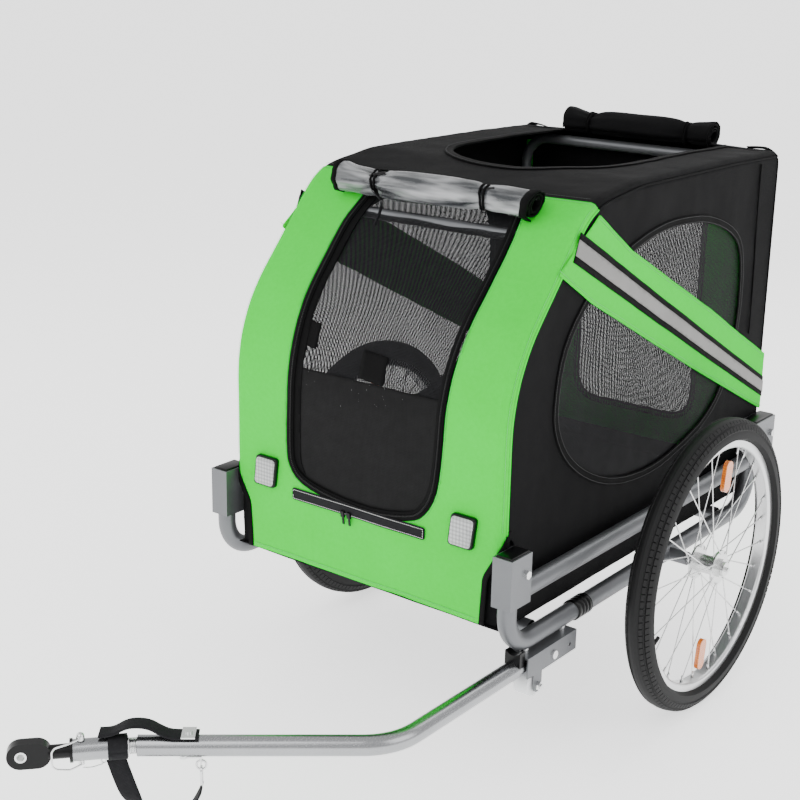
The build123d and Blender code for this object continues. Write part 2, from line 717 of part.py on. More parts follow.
ring_screw = Pos(ring_back, ring_low - 2.0, 0) * Rot(90, 0, 0) * Cylinder(5.0, 4.0)
ring_screw += Pos(ring_back, ring_low + 6.0, 0) * Rot(90, 0, 0) * Cylinder(3.0, 13.0)
tab = block((ring_back + 5.2, ring_back + 24.0), (ring_low - 2.2, ring_low - 0.2), (-5.0, 5.0))
tab += block((ring_back + 22.0, ring_back + 24.0), (ring_low - 12.0, ring_low - 0.2), (-5.0, 5.0))
tab -= Pos(ring_back + 23.0, ring_low - 8.0, 0) * Rot(0, 90, 0) * Cylinder(2.4, 6.0)
keep("ring_screw", bar_plane * ring_screw)
keep("ring_tab", bar_plane * tab)
ring_drop = ring_low - 8.0 - 6.2
keep("d_ring", bar_plane * Pos(ring_back + 23.0, ring_drop, 0) * Torus(6.5, 1.4))
hook_drop = ring_drop - 16.8
hook_ring = SlotOverall(30.0, 13.0) - SlotOverall(24.4, 7.4)
hook = extrude(hook_ring, amount=1.4, both=True)
hook = Pos(ring_back + 23.0, hook_drop, 0) * Rot(0, 90, 0) * Rot(0, 0, 90) * hook
keep("snap_hook", bar_plane * hook)

strap_cord_radius = 4.0
hang_steps = [
    (-24.3, -16.9, -19.0),
    (-18.3, -11.9, -48.0),
    (-7.3, -5.9, -80.0),
    (9.7, 11.1, -102.0),
    (30.7, 30.1, -110.0),
    (48.7, 46.1, -98.0),
]
hang_route = [(bar_end[0] + x, bar_end[1] + y, bar_z + z) for x, y, z in hang_steps]
hook_end = along_bar(ring_back + 23.0, 0, hook_drop - 15.0)
hang_route.append((hook_end[0], hook_end[1], hook_end[2] - 1.5))


def route_radii(route):
    """The largest arc that each corner's two runs allow."""
    radii = []
    for before, corner, after in zip(route, route[1:], route[2:]):
        into = Vector(*corner) - Vector(*before)
        out = Vector(*after) - Vector(*corner)
        half_turn = radians(into.get_angle(out)) / 2
        radii.append(0.45 * min(into.length, out.length) / (sin(half_turn) / cos(half_turn)))
    return radii


hang_radii = route_radii(hang_route)
strap_hang = bent_rod(hang_route, hang_radii, strap_cord_radius)
keep("strap_hang", strap_hang)

# ---- write one STEP per node, with the origin on the floor under the middle of the whole box -----
boxes = [piece.bounding_box() for piece in pieces.values()]
low = [min(getattr(box.min, axis) for box in boxes) for axis in "XYZ"]
high = [max(getattr(box.max, axis) for box in boxes) for axis in "XYZ"]
middle_y = (low[1] + high[1]) / 2
os.makedirs("parts", exist_ok=True)
for name, piece in pieces.items():
    export_step(Pos(0, -middle_y, 0) * piece, f"parts/{name}.step")
print(len(pieces), "nodes, axle at y", round(-middle_y, 3))
print("box", [round(v, 1) for v in low], [round(v, 1) for v in high])
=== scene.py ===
from math import atan2, ceil, cos, degrees, hypot, pi, radians, sin, sqrt

import bmesh
import bpy
from mathutils import Matrix, Vector, noise


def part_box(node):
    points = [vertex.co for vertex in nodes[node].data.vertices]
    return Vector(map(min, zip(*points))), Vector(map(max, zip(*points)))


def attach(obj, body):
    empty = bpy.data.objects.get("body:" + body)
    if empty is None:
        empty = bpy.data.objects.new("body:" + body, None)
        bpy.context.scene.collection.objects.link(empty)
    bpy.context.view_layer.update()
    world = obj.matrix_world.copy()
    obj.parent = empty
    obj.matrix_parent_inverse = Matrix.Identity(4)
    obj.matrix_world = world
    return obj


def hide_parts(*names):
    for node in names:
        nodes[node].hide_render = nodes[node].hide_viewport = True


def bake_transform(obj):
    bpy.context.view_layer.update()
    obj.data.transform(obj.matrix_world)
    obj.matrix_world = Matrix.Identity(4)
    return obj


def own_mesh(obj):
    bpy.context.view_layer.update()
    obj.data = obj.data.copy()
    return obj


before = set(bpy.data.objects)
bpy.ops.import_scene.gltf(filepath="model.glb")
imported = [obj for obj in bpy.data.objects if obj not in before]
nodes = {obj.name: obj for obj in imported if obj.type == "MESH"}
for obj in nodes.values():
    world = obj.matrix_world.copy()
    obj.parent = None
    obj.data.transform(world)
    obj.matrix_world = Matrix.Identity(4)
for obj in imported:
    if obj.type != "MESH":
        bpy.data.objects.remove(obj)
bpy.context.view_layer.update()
tyreLow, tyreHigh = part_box("tyre_left")
axleY = (tyreLow.y + tyreHigh.y) / 2
axleZ = (tyreLow.z + tyreHigh.z) / 2
print("frame loaded, axle at y", round(axleY, 4))


# small helpers, used by every piece below; spot takes millimetres from the floor under the axle

def spot(x, y, z):
    return Vector((x / 1000, y / 1000 + axleY, z / 1000))


def newPiece(name, bm, material, slotName, smooth=True):
    mesh = bpy.data.meshes.new(name)
    bm.to_mesh(mesh)
    bm.free()
    piece = bpy.data.objects.new(name, mesh)
    bpy.context.scene.collection.objects.link(piece)
    for face in mesh.polygons:
        face.use_smooth = smooth
    mesh.materials.append(material)
    return piece


def thicken(piece, thickness, offset=-1.0):
    wall = piece.modifiers.new("cloth thickness", "SOLIDIFY")
    wall.thickness = thickness
    wall.offset = offset
    return piece


def softEdges(piece, width, segments=2):
    edge = piece.modifiers.new("soft edges", "BEVEL")
    edge.width = width
    edge.segments = segments
    edge.limit_method = "ANGLE"
    edge.angle_limit = radians(35)
    return piece


def curveMesh(points, radius, rings=4, order=3, closed=False):  # a round cord's mesh along a smooth line
    curve = bpy.data.curves.new("line", "CURVE")
    curve.dimensions = "3D"
    curve.bevel_depth = radius
    curve.bevel_resolution = rings
    curve.use_fill_caps = not closed
    spline = curve.splines.new("NURBS")
    spline.points.add(len(points) - 1)
    for control, point in zip(spline.points, points):
        control.co = (*point, 1)
    spline.use_cyclic_u = closed
    spline.order_u = order
    spline.use_endpoint_u = not closed
    spline.resolution_u = 8
    holder = bpy.data.objects.new("line", curve)
    bpy.context.scene.collection.objects.link(holder)
    bpy.context.view_layer.update()
    mesh = bpy.data.meshes.new_from_object(holder.evaluated_get(bpy.context.evaluated_depsgraph_get()))
    bpy.data.objects.remove(holder)
    bpy.data.curves.remove(curve)
    return mesh


def tubePiece(name, runs, radius, material, slotName, rings=4, order=3, closed=False):
    bm = bmesh.new()
    for points in runs:
        bm.from_mesh(curveMesh(points, radius, rings, order, closed))
    bmesh.ops.remove_doubles(bm, verts=bm.verts, dist=1e-6)
    return newPiece(name, bm, material, slotName)


def foldsWithCabin(piece):  # the cabin's cloth is tied to the frame, on a mesh of its own
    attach(piece, "frame")
    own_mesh(piece)
    return piece


# finishes

def newMaterial(name, **fixed):
    material = bpy.data.materials.new(name)
    material.use_nodes = True
    shader = material.node_tree.nodes["Principled BSDF"]
    for socket, value in fixed.items():
        shader.inputs[socket.replace("_", " ")].default_value = value
    return material, shader


def node(material, kind, links=(), **settings):
    tree = material.node_tree
    made = tree.nodes.new("ShaderNode" + kind)
    for name, value in settings.items():
        if hasattr(made, name):
            setattr(made, name, value)
        else:
            made.inputs[name.replace("_", " ")].default_value = value
    for source, socket in links:
        tree.links.new(source, made.inputs[socket])
    return made


def place(material, onCloth=False, turn=(0, 0, 0), scale=(1, 1, 1)):
    if onCloth:
        where = node(material, "UVMap", uv_map="flat").outputs[0]
    else:
        where = node(material, "TexCoord").outputs["Object"]
    mapping = node(material, "Mapping", [(where, 0)])
    mapping.inputs["Rotation"].default_value = turn
    mapping.inputs["Scale"].default_value = scale
    return mapping.outputs[0]


def mixed(material, factor, first, second):  # a colour between two, by a factor that varies
    ramp = node(material, "ValToRGB", [(factor, 0)])
    ramp.color_ramp.elements[0].color = (*first, 1)
    ramp.color_ramp.elements[1].color = (*second, 1)
    return ramp


def calc(material, operation, first, second=None, third=None):
    made = node(material, "Math", operation=operation)
    for index, value in enumerate((first, second, third)):
        if value is None:
            continue
        if isinstance(value, (int, float)):
            made.inputs[index].default_value = value
        else:
            material.node_tree.links.new(value, made.inputs[index])
    return made.outputs[0]


def waveAlong(material, where, axis, pitch):  # 0 to 1 and back once every pitch
    parts = node(material, "SeparateXYZ", [(where, 0)])
    turned = calc(material, "MULTIPLY", parts.outputs[axis], 2 * pi / pitch)
    return calc(material, "MULTIPLY_ADD", calc(material, "SINE", turned), 0.5, 0.5)


def wovenCloth(name, dark, light, pitch=0.0011, onCloth=True, bump=0.35, creases=0.25, **fixed):
    material, shader = newMaterial(name, Roughness=0.8, Specular_IOR_Level=0.1, **fixed)
    tree = material.node_tree
    where = place(material, onCloth)
    warp = waveAlong(material, where, 0, pitch)
    weft = waveAlong(material, where, 1, pitch)
    over = calc(
        material, "GREATER_THAN",
        calc(
            material, "MULTIPLY", calc(material, "SUBTRACT", warp, 0.5), calc(material, "SUBTRACT", weft, 0.5)
        ),
        0
    )
    threads = calc(
        material, "ADD", calc(material, "MULTIPLY", over, warp),
        calc(material, "MULTIPLY", calc(material, "SUBTRACT", 1, over), weft)
    )
    slub = node(material, "TexNoise", [(where, 0)], Scale=140, Detail=4, Roughness=0.6)
    patches = node(material, "TexNoise", [(where, 0)], Scale=7, Detail=3, Roughness=0.55)
    shade = calc(
        material, "ADD", calc(material, "MULTIPLY", slub.outputs[0], 0.45),
        calc(material, "MULTIPLY", patches.outputs[0], 0.55)
    )
    shade = calc(material, "MULTIPLY_ADD", calc(material, "SUBTRACT", shade, 0.5), 1.6, 0.5)
    colour = mixed(material, shade, dark, light)
    tree.links.new(colour.outputs[0], shader.inputs["Base Color"])
    wear = calc(material, "MULTIPLY_ADD", patches.outputs[0], 0.18, 0.66)
    tree.links.new(wear, shader.inputs["Roughness"])
    rough = node(material, "TexNoise", [(where, 0)], Scale=38, Detail=2)
    first = node(material, "Bump", [(rough.outputs[0], "Height")], Strength=creases, Distance=0.0012)
    height = node(
        material, "Bump", [(threads, "Height"), (first.outputs[0], "Normal")], Strength=bump, Distance=0.00035
    )
    tree.links.new(height.outputs[0], shader.inputs["Normal"])
    return material


def openMesh(name, colour, pitch=0.0021, cover=0.5, onCloth=True):  # knitted net: threads round open holes
    material, shader = newMaterial(name, Roughness=0.6, Base_Color=(*colour, 1), Specular_IOR_Level=0.12)
    where = place(material, onCloth, turn=(0, 0, radians(3)))
    across = waveAlong(material, where, 0, pitch)
    along = waveAlong(material, where, 1, pitch)
    hole = calc(material, "MULTIPLY", across, along)
    thread = calc(material, "LESS_THAN", hole, cover * cover)
    material.node_tree.links.new(thread, shader.inputs["Alpha"])
    grain = node(material, "TexNoise", [(where, 0)], Scale=60, Detail=2)
    tone = mixed(
        material, grain.outputs[0], tuple(c * 0.7 for c in colour), tuple(c * 1.5 + 0.004 for c in colour)
    )
    material.node_tree.links.new(tone.outputs[0], shader.inputs["Base Color"])
    lumps = node(material, "Bump", [(hole, "Height")], Strength=0.5, Distance=0.0004)
    material.node_tree.links.new(lumps.outputs[0], shader.inputs["Normal"])
    return material


def metalFinish(name, dark, light, roughness, stretch=(1, 1, 1), grain=400, metallic=1.0, bump=0.06, **fixed):
    material, shader = newMaterial(name, Metallic=metallic, **fixed)
    where = place(material, scale=stretch)
    fine = node(material, "TexNoise", [(where, 0)], Scale=grain, Detail=5, Roughness=0.7)
    broad = node(material, "TexNoise", [(place(material), 0)], Scale=9, Detail=3)
    colour = mixed(
        material,
        calc(
            material, "ADD", calc(material, "MULTIPLY", fine.outputs[0], 0.5),
            calc(material, "MULTIPLY", broad.outputs[0], 0.5)
        ),
        dark, light
    )
    colour.color_ramp.elements[0].position = 0.3
    colour.color_ramp.elements[1].position = 0.7
    material.node_tree.links.new(colour.outputs[0], shader.inputs["Base Color"])
    spread = calc(material, "MULTIPLY_ADD", fine.outputs[0], 0.16, roughness - 0.08)
    material.node_tree.links.new(spread, shader.inputs["Roughness"])
    skin = node(material, "Bump", [(fine.outputs[0], "Height")], Strength=bump, Distance=0.0004)
    material.node_tree.links.new(skin.outputs[0], shader.inputs["Normal"])
    return material


def plasticFinish(name, dark, light, roughness, grain=600, bump=0.08, **fixed):
    return metalFinish(name, dark, light, roughness, grain=grain, metallic=0.0, bump=bump, **fixed)


greenCloth = wovenCloth("green polyester", (0.0, 0.56, 0.012), (0.004, 0.69, 0.03))
blackCloth = wovenCloth("black polyester", (0.0008, 0.0008, 0.001), (0.003, 0.003, 0.0035), creases=0.5)
blackTape = wovenCloth(
    "black binding tape", (0.0003, 0.0003, 0.0004), (0.0012, 0.0012, 0.0014), pitch=0.0016, bump=0.6
)
webbingWeave = wovenCloth("black webbing", (0.006, 0.006, 0.007), (0.02, 0.02, 0.022), pitch=0.0022, bump=0.9)
looseWeave = wovenCloth("black padding cover", (0.006, 0.006, 0.0065), (0.016, 0.016, 0.018), onCloth=False)
doorNet = openMesh("door net", (0.005, 0.005, 0.006), cover=0.47)
denseNet = openMesh("dense net", (0.0008, 0.0008, 0.001), pitch=0.0024, cover=0.93)
windowNet = openMesh("window net", (0.005, 0.005, 0.006), cover=0.5)
powderCoat = metalFinish(
    "silver powder coat", (0.125, 0.129, 0.137), (0.175, 0.18, 0.188), 0.4, grain=1500, metallic=0.7,
    bump=0.12
)
brushedAlloy = metalFinish(
    "satin alloy", (0.27, 0.275, 0.285), (0.37, 0.375, 0.385), 0.26, stretch=(6, 1, 6), grain=160
)
rimAlloy = metalFinish("rim alloy", (0.62, 0.625, 0.63), (0.74, 0.745, 0.75), 0.3, grain=500)
brightZinc = metalFinish("bright zinc", (0.6, 0.61, 0.62), (0.8, 0.8, 0.79), 0.27, grain=300)
tyreRubber = plasticFinish(
    "tyre rubber", (0.002, 0.002, 0.0022), (0.007, 0.007, 0.0074), 0.66, grain=260, bump=0.25,
    Specular_IOR_Level=0.25
)
blackNylon = plasticFinish(
    "black nylon", (0.0012, 0.0012, 0.0014), (0.0034, 0.0034, 0.0038), 0.3, Specular_IOR_Level=0.2
)
whiteNylon = plasticFinish(
    "white nylon", (0.66, 0.67, 0.68), (0.78, 0.79, 0.8), 0.38, Subsurface_Weight=0.15,
    Subsurface_Radius=(0.004, 0.004, 0.004)
)
boardPlastic = plasticFinish("floor board", (0.012, 0.012, 0.012), (0.03, 0.03, 0.03), 0.6)
silverTape = metalFinish(
    "reflective tape", (0.15, 0.146, 0.14), (0.21, 0.205, 0.2), 0.5, grain=900, metallic=0.15
)
whiteThread = plasticFinish("white thread", (0.5, 0.5, 0.5), (0.72, 0.72, 0.71), 0.7)
blackThread = plasticFinish("black thread", (0.012, 0.012, 0.013), (0.035, 0.035, 0.037), 0.65)
greenThread = plasticFinish("green thread", (0.05, 0.42, 0.09), (0.09, 0.56, 0.13), 0.7)


def prismLens(name, dark, light, cell, **fixed):  # moulded reflector with small corner prisms behind its face
    material, shader = newMaterial(name, Roughness=0.12, Coat_Weight=0.8, Coat_Roughness=0.05, **fixed)
    where = place(material)
    cells = node(material, "TexVoronoi", [(where, 0)], Scale=1 / cell, Randomness=0.0)
    tone = mixed(material, cells.outputs["Distance"], light, dark)
    tone.color_ramp.elements[1].position = 0.75
    material.node_tree.links.new(tone.outputs[0], shader.inputs["Base Color"])
    facets = node(material, "Bump", [(cells.outputs["Distance"], "Height")], Strength=0.7, Distance=0.001)
    material.node_tree.links.new(facets.outputs[0], shader.inputs["Normal"])
    return material


amberLens = prismLens("amber lens", (0.55, 0.10, 0.008), (0.95, 0.30, 0.03), 0.004)
clearLens = prismLens("clear lens", (0.15, 0.155, 0.155), (0.5, 0.51, 0.51), 0.006, Metallic=0.35)


def clearVinylWithPaintedHighlights():
    material, shader = newMaterial("clear vinyl, painted highlights and shade", Transmission_Weight=0.5, IOR=1.3, Coat_Weight=0.6)
    where = place(material)
    # the stretched crease noise paints dark streaks and bright streaks into the vinyl's colour: painted shade
    # in its folds and painted highlights on them; the same noise also drives the folds' bump
    creases = node(
        material, "TexNoise", [(place(material, scale=(0.16, 1, 1)), 0)], Scale=62, Detail=2.5, Roughness=0.5
    )
    tone = mixed(material, creases.outputs[0], (0.055, 0.06, 0.066), (0.6, 0.61, 0.62))
    tone.color_ramp.elements[0].position = 0.35
    tone.color_ramp.elements[1].position = 0.68
    material.node_tree.links.new(tone.outputs[0], shader.inputs["Base Color"])
    haze = node(material, "TexNoise", [(where, 0)], Scale=30, Detail=2)
    material.node_tree.links.new(
        calc(material, "MULTIPLY_ADD", haze.outputs[0], 0.3, 0.04), shader.inputs["Roughness"]
    )
    folds = node(material, "Bump", [(creases.outputs[0], "Height")], Strength=0.8, Distance=0.003)
    material.node_tree.links.new(folds.outputs[0], shader.inputs["Normal"])
    return material


# clear vinyl whose colour carries painted highlights and painted shade along its creases
vinylWithPaintedHighlights = clearVinylWithPaintedHighlights()
print("finishes made")


# camera, light and floor

camera = {
    "place": (1.329556, -1.719012, 1.216210), "azimuth": 37.968, "elevation": 17.404, "roll": 1.034,
    "lens": 67.28
}
lightPlan = {
    "sky": 1.05,
    "panels": [
        ("keyPanel", (0.2, -2.6, 2.6), (0, -0.1, 0.4), 2.6, 62),
        ("leftPanel", (-2.8, -1.0, 1.7), (0, 0, 0.4), 2.2, 26),
        ("rightPanel", (3.0, 0.3, 2.0), (0, 0, 0.4), 2.2, 34),
        ("backPanel", (0.3, 2.8, 2.3), (0, 0, 0.5), 2.0, 26),
    ],
}


def makeCamera():
    azimuth, elevation, roll = (radians(camera[k]) for k in ("azimuth", "elevation", "roll"))
    back = Vector((sin(azimuth) * cos(elevation), -cos(azimuth) * cos(elevation), sin(elevation)))
    right = Vector((cos(azimuth), sin(azimuth), 0))
    up = back.cross(right)
    across = right * cos(roll) + up * sin(roll)
    above = up * cos(roll) - right * sin(roll)
    data = bpy.data.cameras.new("view")
    data.lens = camera["lens"]
    data.sensor_width = 36
    holder = bpy.data.objects.new("view", data)
    bpy.context.scene.collection.objects.link(holder)
    turn = Matrix((across, above, back)).transposed().to_4x4()
    holder.matrix_world = Matrix.Translation(camera["place"]) @ turn
    bpy.context.scene.camera = holder


def makeLights():
    world = bpy.data.worlds.new("studio")
    bpy.context.scene.world = world
    world.use_nodes = True
    world.node_tree.nodes["Background"].inputs[0].default_value = (1, 1, 1, 1)
    world.node_tree.nodes["Background"].inputs[1].default_value = lightPlan["sky"]
    for name, position, target, size, power in lightPlan["panels"]:
        data = bpy.data.lights.new(name, "AREA")
        data.size = size
        data.energy = power
        holder = bpy.data.objects.new(name, data)
        bpy.context.scene.collection.objects.link(holder)
        holder.location = position
        holder.rotation_mode = "QUATERNION"
        holder.rotation_quaternion = (Vector(target) - Vector(position)).to_track_quat("-Z", "Y")


def makeFloor():
    bm = bmesh.new()
    bmesh.ops.create_grid(bm, x_segments=2, y_segments=2, size=30)
    material, shader = newMaterial(
        "pale floor", Roughness=0.9, Base_Color=(0.94, 0.94, 0.94, 1), Emission_Color=(1, 1, 1, 1),
        Emission_Strength=1.3
    )
    mesh = bpy.data.meshes.new("floor")
    bm.to_mesh(mesh)
    bm.free()
    floorPlane = bpy.data.objects.new("floor", mesh)
    mesh.materials.append(material)
    bpy.context.scene.collection.objects.link(floorPlane)


makeCamera()
makeLights()
makeFloor()
print("camera, light and floor set")


# safety strap: the free hanging run comes first

strap = {
    "width": 0.025,
    "thickness": 0.0022,
    "hang": [
        (-4.6, -946.3, 189), (1.4, -941.3, 160), (12.4, -935.3, 128), (29.4, -918.3, 106), (50.4, -899.3, 98),
        (68.4, -883.3, 110), (81.7, -877.3, 146.5)
    ],
    "length": 0.178,
}


def lineOf(points, order=3):  # sampled points of the smooth line through a cord's control points
    curve = bpy.data.curves.new("route", "CURVE")
    curve.dimensions = "3D"
    spline = curve.splines.new("NURBS")
    spline.points.add(len(points) - 1)
    for control, point in zip(spline.points, points):
        control.co = (*point, 1)
    spline.order_u = order
    spline.use_endpoint_u = True
    spline.resolution_u = 10
    holder = bpy.data.objects.new("route", curve)
    bpy.context.scene.collection.objects.link(holder)
    bpy.context.view_layer.update()
    mesh = bpy.data.meshes.new_from_object(holder)
    line = [v.co.copy() for v in mesh.vertices]
    bpy.data.objects.remove(holder)
    bpy.data.curves.remove(curve)
    bpy.data.meshes.remove(mesh)
    return line


# webbing laid along a line
def ribbonPiece(name, line, width, across, material, slotName, thickness, offset=0.0):
    bm = bmesh.new()
    flat = bm.loops.layers.uv.new("flat")
    lanes = 4
    row = [bm.verts.new(line[0] + across(0) * width * (k / lanes - 0.5)) for k in range(lanes + 1)]
    edges = [bm.edges.new((row[k], row[k + 1])) for k in range(lanes)]
    far = {vert: (width * k / lanes, 0.0) for k, vert in enumerate(row)}
    run = 0.0
    for index in range(1, len(line)):
        grown = bmesh.ops.extrude_edge_only(bm, edges=edges)["geom"]
        edges = [g for g in grown if isinstance(g, bmesh.types.BMEdge)]
        row = sorted(
            (g for g in grown if isinstance(g, bmesh.types.BMVert)), key=lambda v: v.co.dot(across(index - 1))
        )
        run += (line[index] - line[index - 1]).length
        for k, vert in enumerate(row):
            vert.co = line[index] + across(index) * width * (k / lanes - 0.5)
            far[vert] = (width * k / lanes, run)
        edges = [e for e in edges if e.verts[0] in row and e.verts[1] in row]
    for face in bm.faces:
        for loop in face.loops:
            loop[flat].uv = far[loop.vert]
    bmesh.ops.recalc_face_normals(bm, faces=bm.faces)
    piece = newPiece(name, bm, material, slotName)
    thicken(piece, thickness, offset)
    return piece


hitch = {"barEnd": (19.67, -929.41, 208.0), "barTurn": radians(50), "headTurn": radians(41), "springHalf": 6}
barEnd = Vector(hitch["barEnd"])
barBack = Vector((sin(hitch["barTurn"]), cos(hitch["barTurn"]), 0))
barSide = Vector((cos(hitch["barTurn"]), -sin(hitch["barTurn"]), 0))
headAhead = Vector((-sin(hitch["headTurn"]), -cos(hitch["headTurn"]), 0))
headSide = Vector((cos(hitch["headTurn"]), -sin(hitch["headTurn"]), 0))
headStart = barEnd - barBack * hitch["springHalf"]


def onBar(back, side, up):
    return spot(*(barEnd + barBack * back + barSide * side + Vector((0, 0, up))))


def onHead(ahead, side, up):
    return spot(*(headStart + headAhead * ahead + headSide * side + Vector((0, 0, up))))


hangLine = lineOf([spot(*point) for point in strap["hang"]])


def hangAcross(index):
    share = min(1.0, index / (len(hangLine) * 0.75))
    share = share * share * (3 - 2 * share)
    tangent = (hangLine[min(index + 1, len(hangLine) - 1)] - hangLine[max(index - 1, 0)]).normalized()
    wide = headAhead * -(1 - share) + Vector((0.645, -0.764, 0)) * share
    return (wide - tangent * wide.dot(tangent)).normalized()


hangStrap = ribbonPiece(
    "strap_hanging", hangLine, strap["width"], hangAcross, webbingWeave, "webbing", strap["thickness"]
)
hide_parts("strap_hang")
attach(hangStrap, "frame")
tuple(hangLine[0])
[tuple(p) for p in hangLine]
print("hanging strap laid")


# the cabin's cut cloth: each panel is cut flat, then laid over the cabin's shape

cabin = {
    "halfWidth": 257,
    "bendRadius": 11,
    "cell": 6.5,
    "clothThickness": 0.0012,
    "tapeThickness": 0.0016,
    "heart": (0, -50, 560),
    "profile": [
        (354, 266, 0), (350, 872, 23), (160, 876, 300), (-129, 876, 300), (-268, 858, 120), (-459, 640, 250),
        (-459, 266, 0)
    ],
}


def roundedLine(corners):
    points = [Vector(corners[0][:2])]
    for before, corner, after in zip(corners, corners[1:], corners[2:]):
        here = Vector(corner[:2])
        into = (here - Vector(before[:2])).normalized()
        out = (Vector(after[:2]) - here).normalized()
        turn = into.angle(out)
        cut = corner[2] * (sin(turn / 2) / cos(turn / 2))
        side = into.x * out.y - into.y * out.x
        centre = here - into * cut + Vector((-into.y, into.x)) * corner[2] * (1 if side > 0 else -1)
        arm = here - into * cut - centre
        steps = max(3, int(degrees(turn) / 4))
        for step in range(steps + 1):
            angle = turn * step / steps * (1 if side > 0 else -1)
            points.append(
                centre
                + Vector((arm.x * cos(angle) - arm.y * sin(angle), arm.x * sin(angle) + arm.y * cos(angle)))
            )
    points.append(Vector(corners[-1][:2]))
    return points


profileLine = roundedLine(cabin["profile"])
profileRun = [0.0]
for first, second in zip(profileLine, profileLine[1:]):
    profileRun.append(profileRun[-1] + (second - first).length)


def profileAt(run):  # (place, outward) on the cabin's outline, a distance along it from the rear of the floor
    run = min(max(run, 0.0), profileRun[-1] - 1e-6)
    low, high = 0, len(profileRun) - 1
    while high - low > 1:
        middle = (low + high) // 2
        low, high = (middle, high) if profileRun[middle] <= run else (low, middle)
    share = (run - profileRun[low]) / (profileRun[high] - profileRun[low])
    here = profileLine[low].lerp(profileLine[high], share)
    ahead = (profileLine[high] - profileLine[low]).normalized()
    return here, Vector((ahead.y, -ahead.x))


def runWhere(test):  # the first distance along the outline where test(y, z) holds
    step = 0.5
    for index in range(int(profileRun[-1] / step)):
        here = profileAt(index * step)[0]
        if test(here.x, here.y):
            return index * step
    return profileRun[-1]


roofStart = runWhere(lambda y, z: z > 841)
seamRun = runWhere(lambda y, z: y < -253 and z > 700)
bottomRun = profileRun[-1] - 3
bendRadius = cabin["bendRadius"]
flatHalf = cabin["halfWidth"] - bendRadius
sideRun = flatHalf + bendRadius * pi / 2
heart = spot(*cabin["heart"])


def frontRun(z):
    return runWhere(lambda y, height: y < -255 and height < z)


def roofRun(y):
    return runWhere(lambda place, height: height > 800 and place < y)


def ripple(point, size, seed):
    return noise.noise(Vector((point[0] * size, point[1] * size, seed)))


def overCabin(lift=0.0, sag=3.0, folds=1.0, seed=1.0):  # lays flat (across, run), in mm, over hoops and roof
    def lay(across, run):
        here, outward = profileAt(run)
        side = 1 if across > 0 else -1
        beyond = max(0.0, abs(across) - flatHalf)
        angle = min(beyond / bendRadius, pi / 2)
        x = side * (min(abs(across), flatHalf) + bendRadius * sin(angle))
        depth = bendRadius * (1 - cos(angle)) + max(0.0, beyond - bendRadius * pi / 2)
        middle = 1 - min(1.0, (across / flatHalf) ** 2)
        rise = lift - sag * middle
        edge = max(0.0, 1 - (sideRun - abs(across)) / 60)
        pucker = ripple((across, run * 3.2), 0.012, seed) * 1.3 * edge * (1 - min(1, beyond / 8))
        fine = ripple((across * 0.6, run), 0.03, seed + 8) * 0.7
        broad = ripple((across, run), 0.011, seed + 4) * 2.4 * middle + fine
        rise += (pucker + broad) * folds
        out = rise * cos(angle) - depth
        return spot(x + side * lift * sin(angle), here.x + outward.x * out, here.y + outward.y * out)
    return lay


def frontLay(lift=0.0):
    return overCabin(lift, sag=2.0, folds=0.8, seed=3.0)


def rearLay(lift=0.0):
    return overCabin(lift, sag=2.0, folds=0.8, seed=6.0)


def roofLay(lift=0.0):
    return overCabin(lift, sag=4.0, folds=1.0, seed=12.0)


def onSide(side, lift=0.0):  # lays flat (y, z), in mm, on one side of the cabin
    seed = 2.0 + side

    def lay(y, z):
        middle = max(0.0, 1 - ((y + 50) / 380) ** 2) * max(0.0, 1 - ((z - 560) / 320) ** 2)
        folds = ripple((y, z), 0.010, seed) * 2.2 + ripple((y * 1.4, z * 0.7), 0.027, seed + 5) * 0.8
        rise = lift - 3.0 * middle + folds * min(1.0, middle * 3 + 0.25)
        return spot(side * (cabin["halfWidth"] + rise), y, z)
    return lay


def along(outline, closed=True):
    return zip(outline, outline[1:] + outline[:1]) if closed else zip(outline, outline[1:])


def inside(point, outline):
    odd = False
    for a, b in along(outline):
        if (a[1] > point[1]) != (b[1] > point[1]):
            if point[0] < (b[0] - a[0]) * (point[1] - a[1]) / (b[1] - a[1]) + a[0]:
                odd = not odd
    return odd


def scissors(bm, outline, keepInside, cell):  # cuts the flat cloth along an outline and drops one part
    for a, b in along(outline):
        start, end = Vector((*a, 0)), Vector((*b, 0))
        if (end - start).length < 1e-4:
            continue
        run = (end - start).normalized()
        reach = (end - start).length
        near = []
        for face in bm.faces:
            middle = face.calc_center_median() - start
            ahead = middle.dot(run)
            if -2 * cell < ahead < reach + 2 * cell and abs(middle.x * run.y - middle.y * run.x) < 1.5 * cell:
                near.append(face)
        geometry = set(near)
        for face in near:
            geometry.update(face.edges)
            geometry.update(face.verts)
        bmesh.ops.bisect_plane(
            bm, geom=list(geometry), dist=cell * 0.02, plane_co=start, plane_no=Vector((-run.y, run.x, 0))
        )
    doomed = [face for face in bm.faces if inside(face.calc_center_median(), outline) != keepInside]
    bmesh.ops.delete(bm, geom=doomed, context="FACES")


def panel(
    name, outline, holes, lay, material, slotName, cell=cabin["cell"], thickness=cabin["clothThickness"]
):
    xs, ys = [p[0] for p in outline], [p[1] for p in outline]
    columns, rows = ceil((max(xs) - min(xs)) / cell) + 2, ceil((max(ys) - min(ys)) / cell) + 2
    bm = bmesh.new()
    bmesh.ops.create_grid(bm, x_segments=columns, y_segments=rows, size=0.5)
    bmesh.ops.scale(bm, vec=(columns * cell, rows * cell, 1), verts=bm.verts)
    bmesh.ops.translate(bm, vec=((max(xs) + min(xs)) / 2, (max(ys) + min(ys)) / 2, 0), verts=bm.verts)
    scissors(bm, outline, True, cell)
    for hole in holes:
        scissors(bm, hole, False, cell)
    return drape(name, bm, lay, material, slotName, thickness)


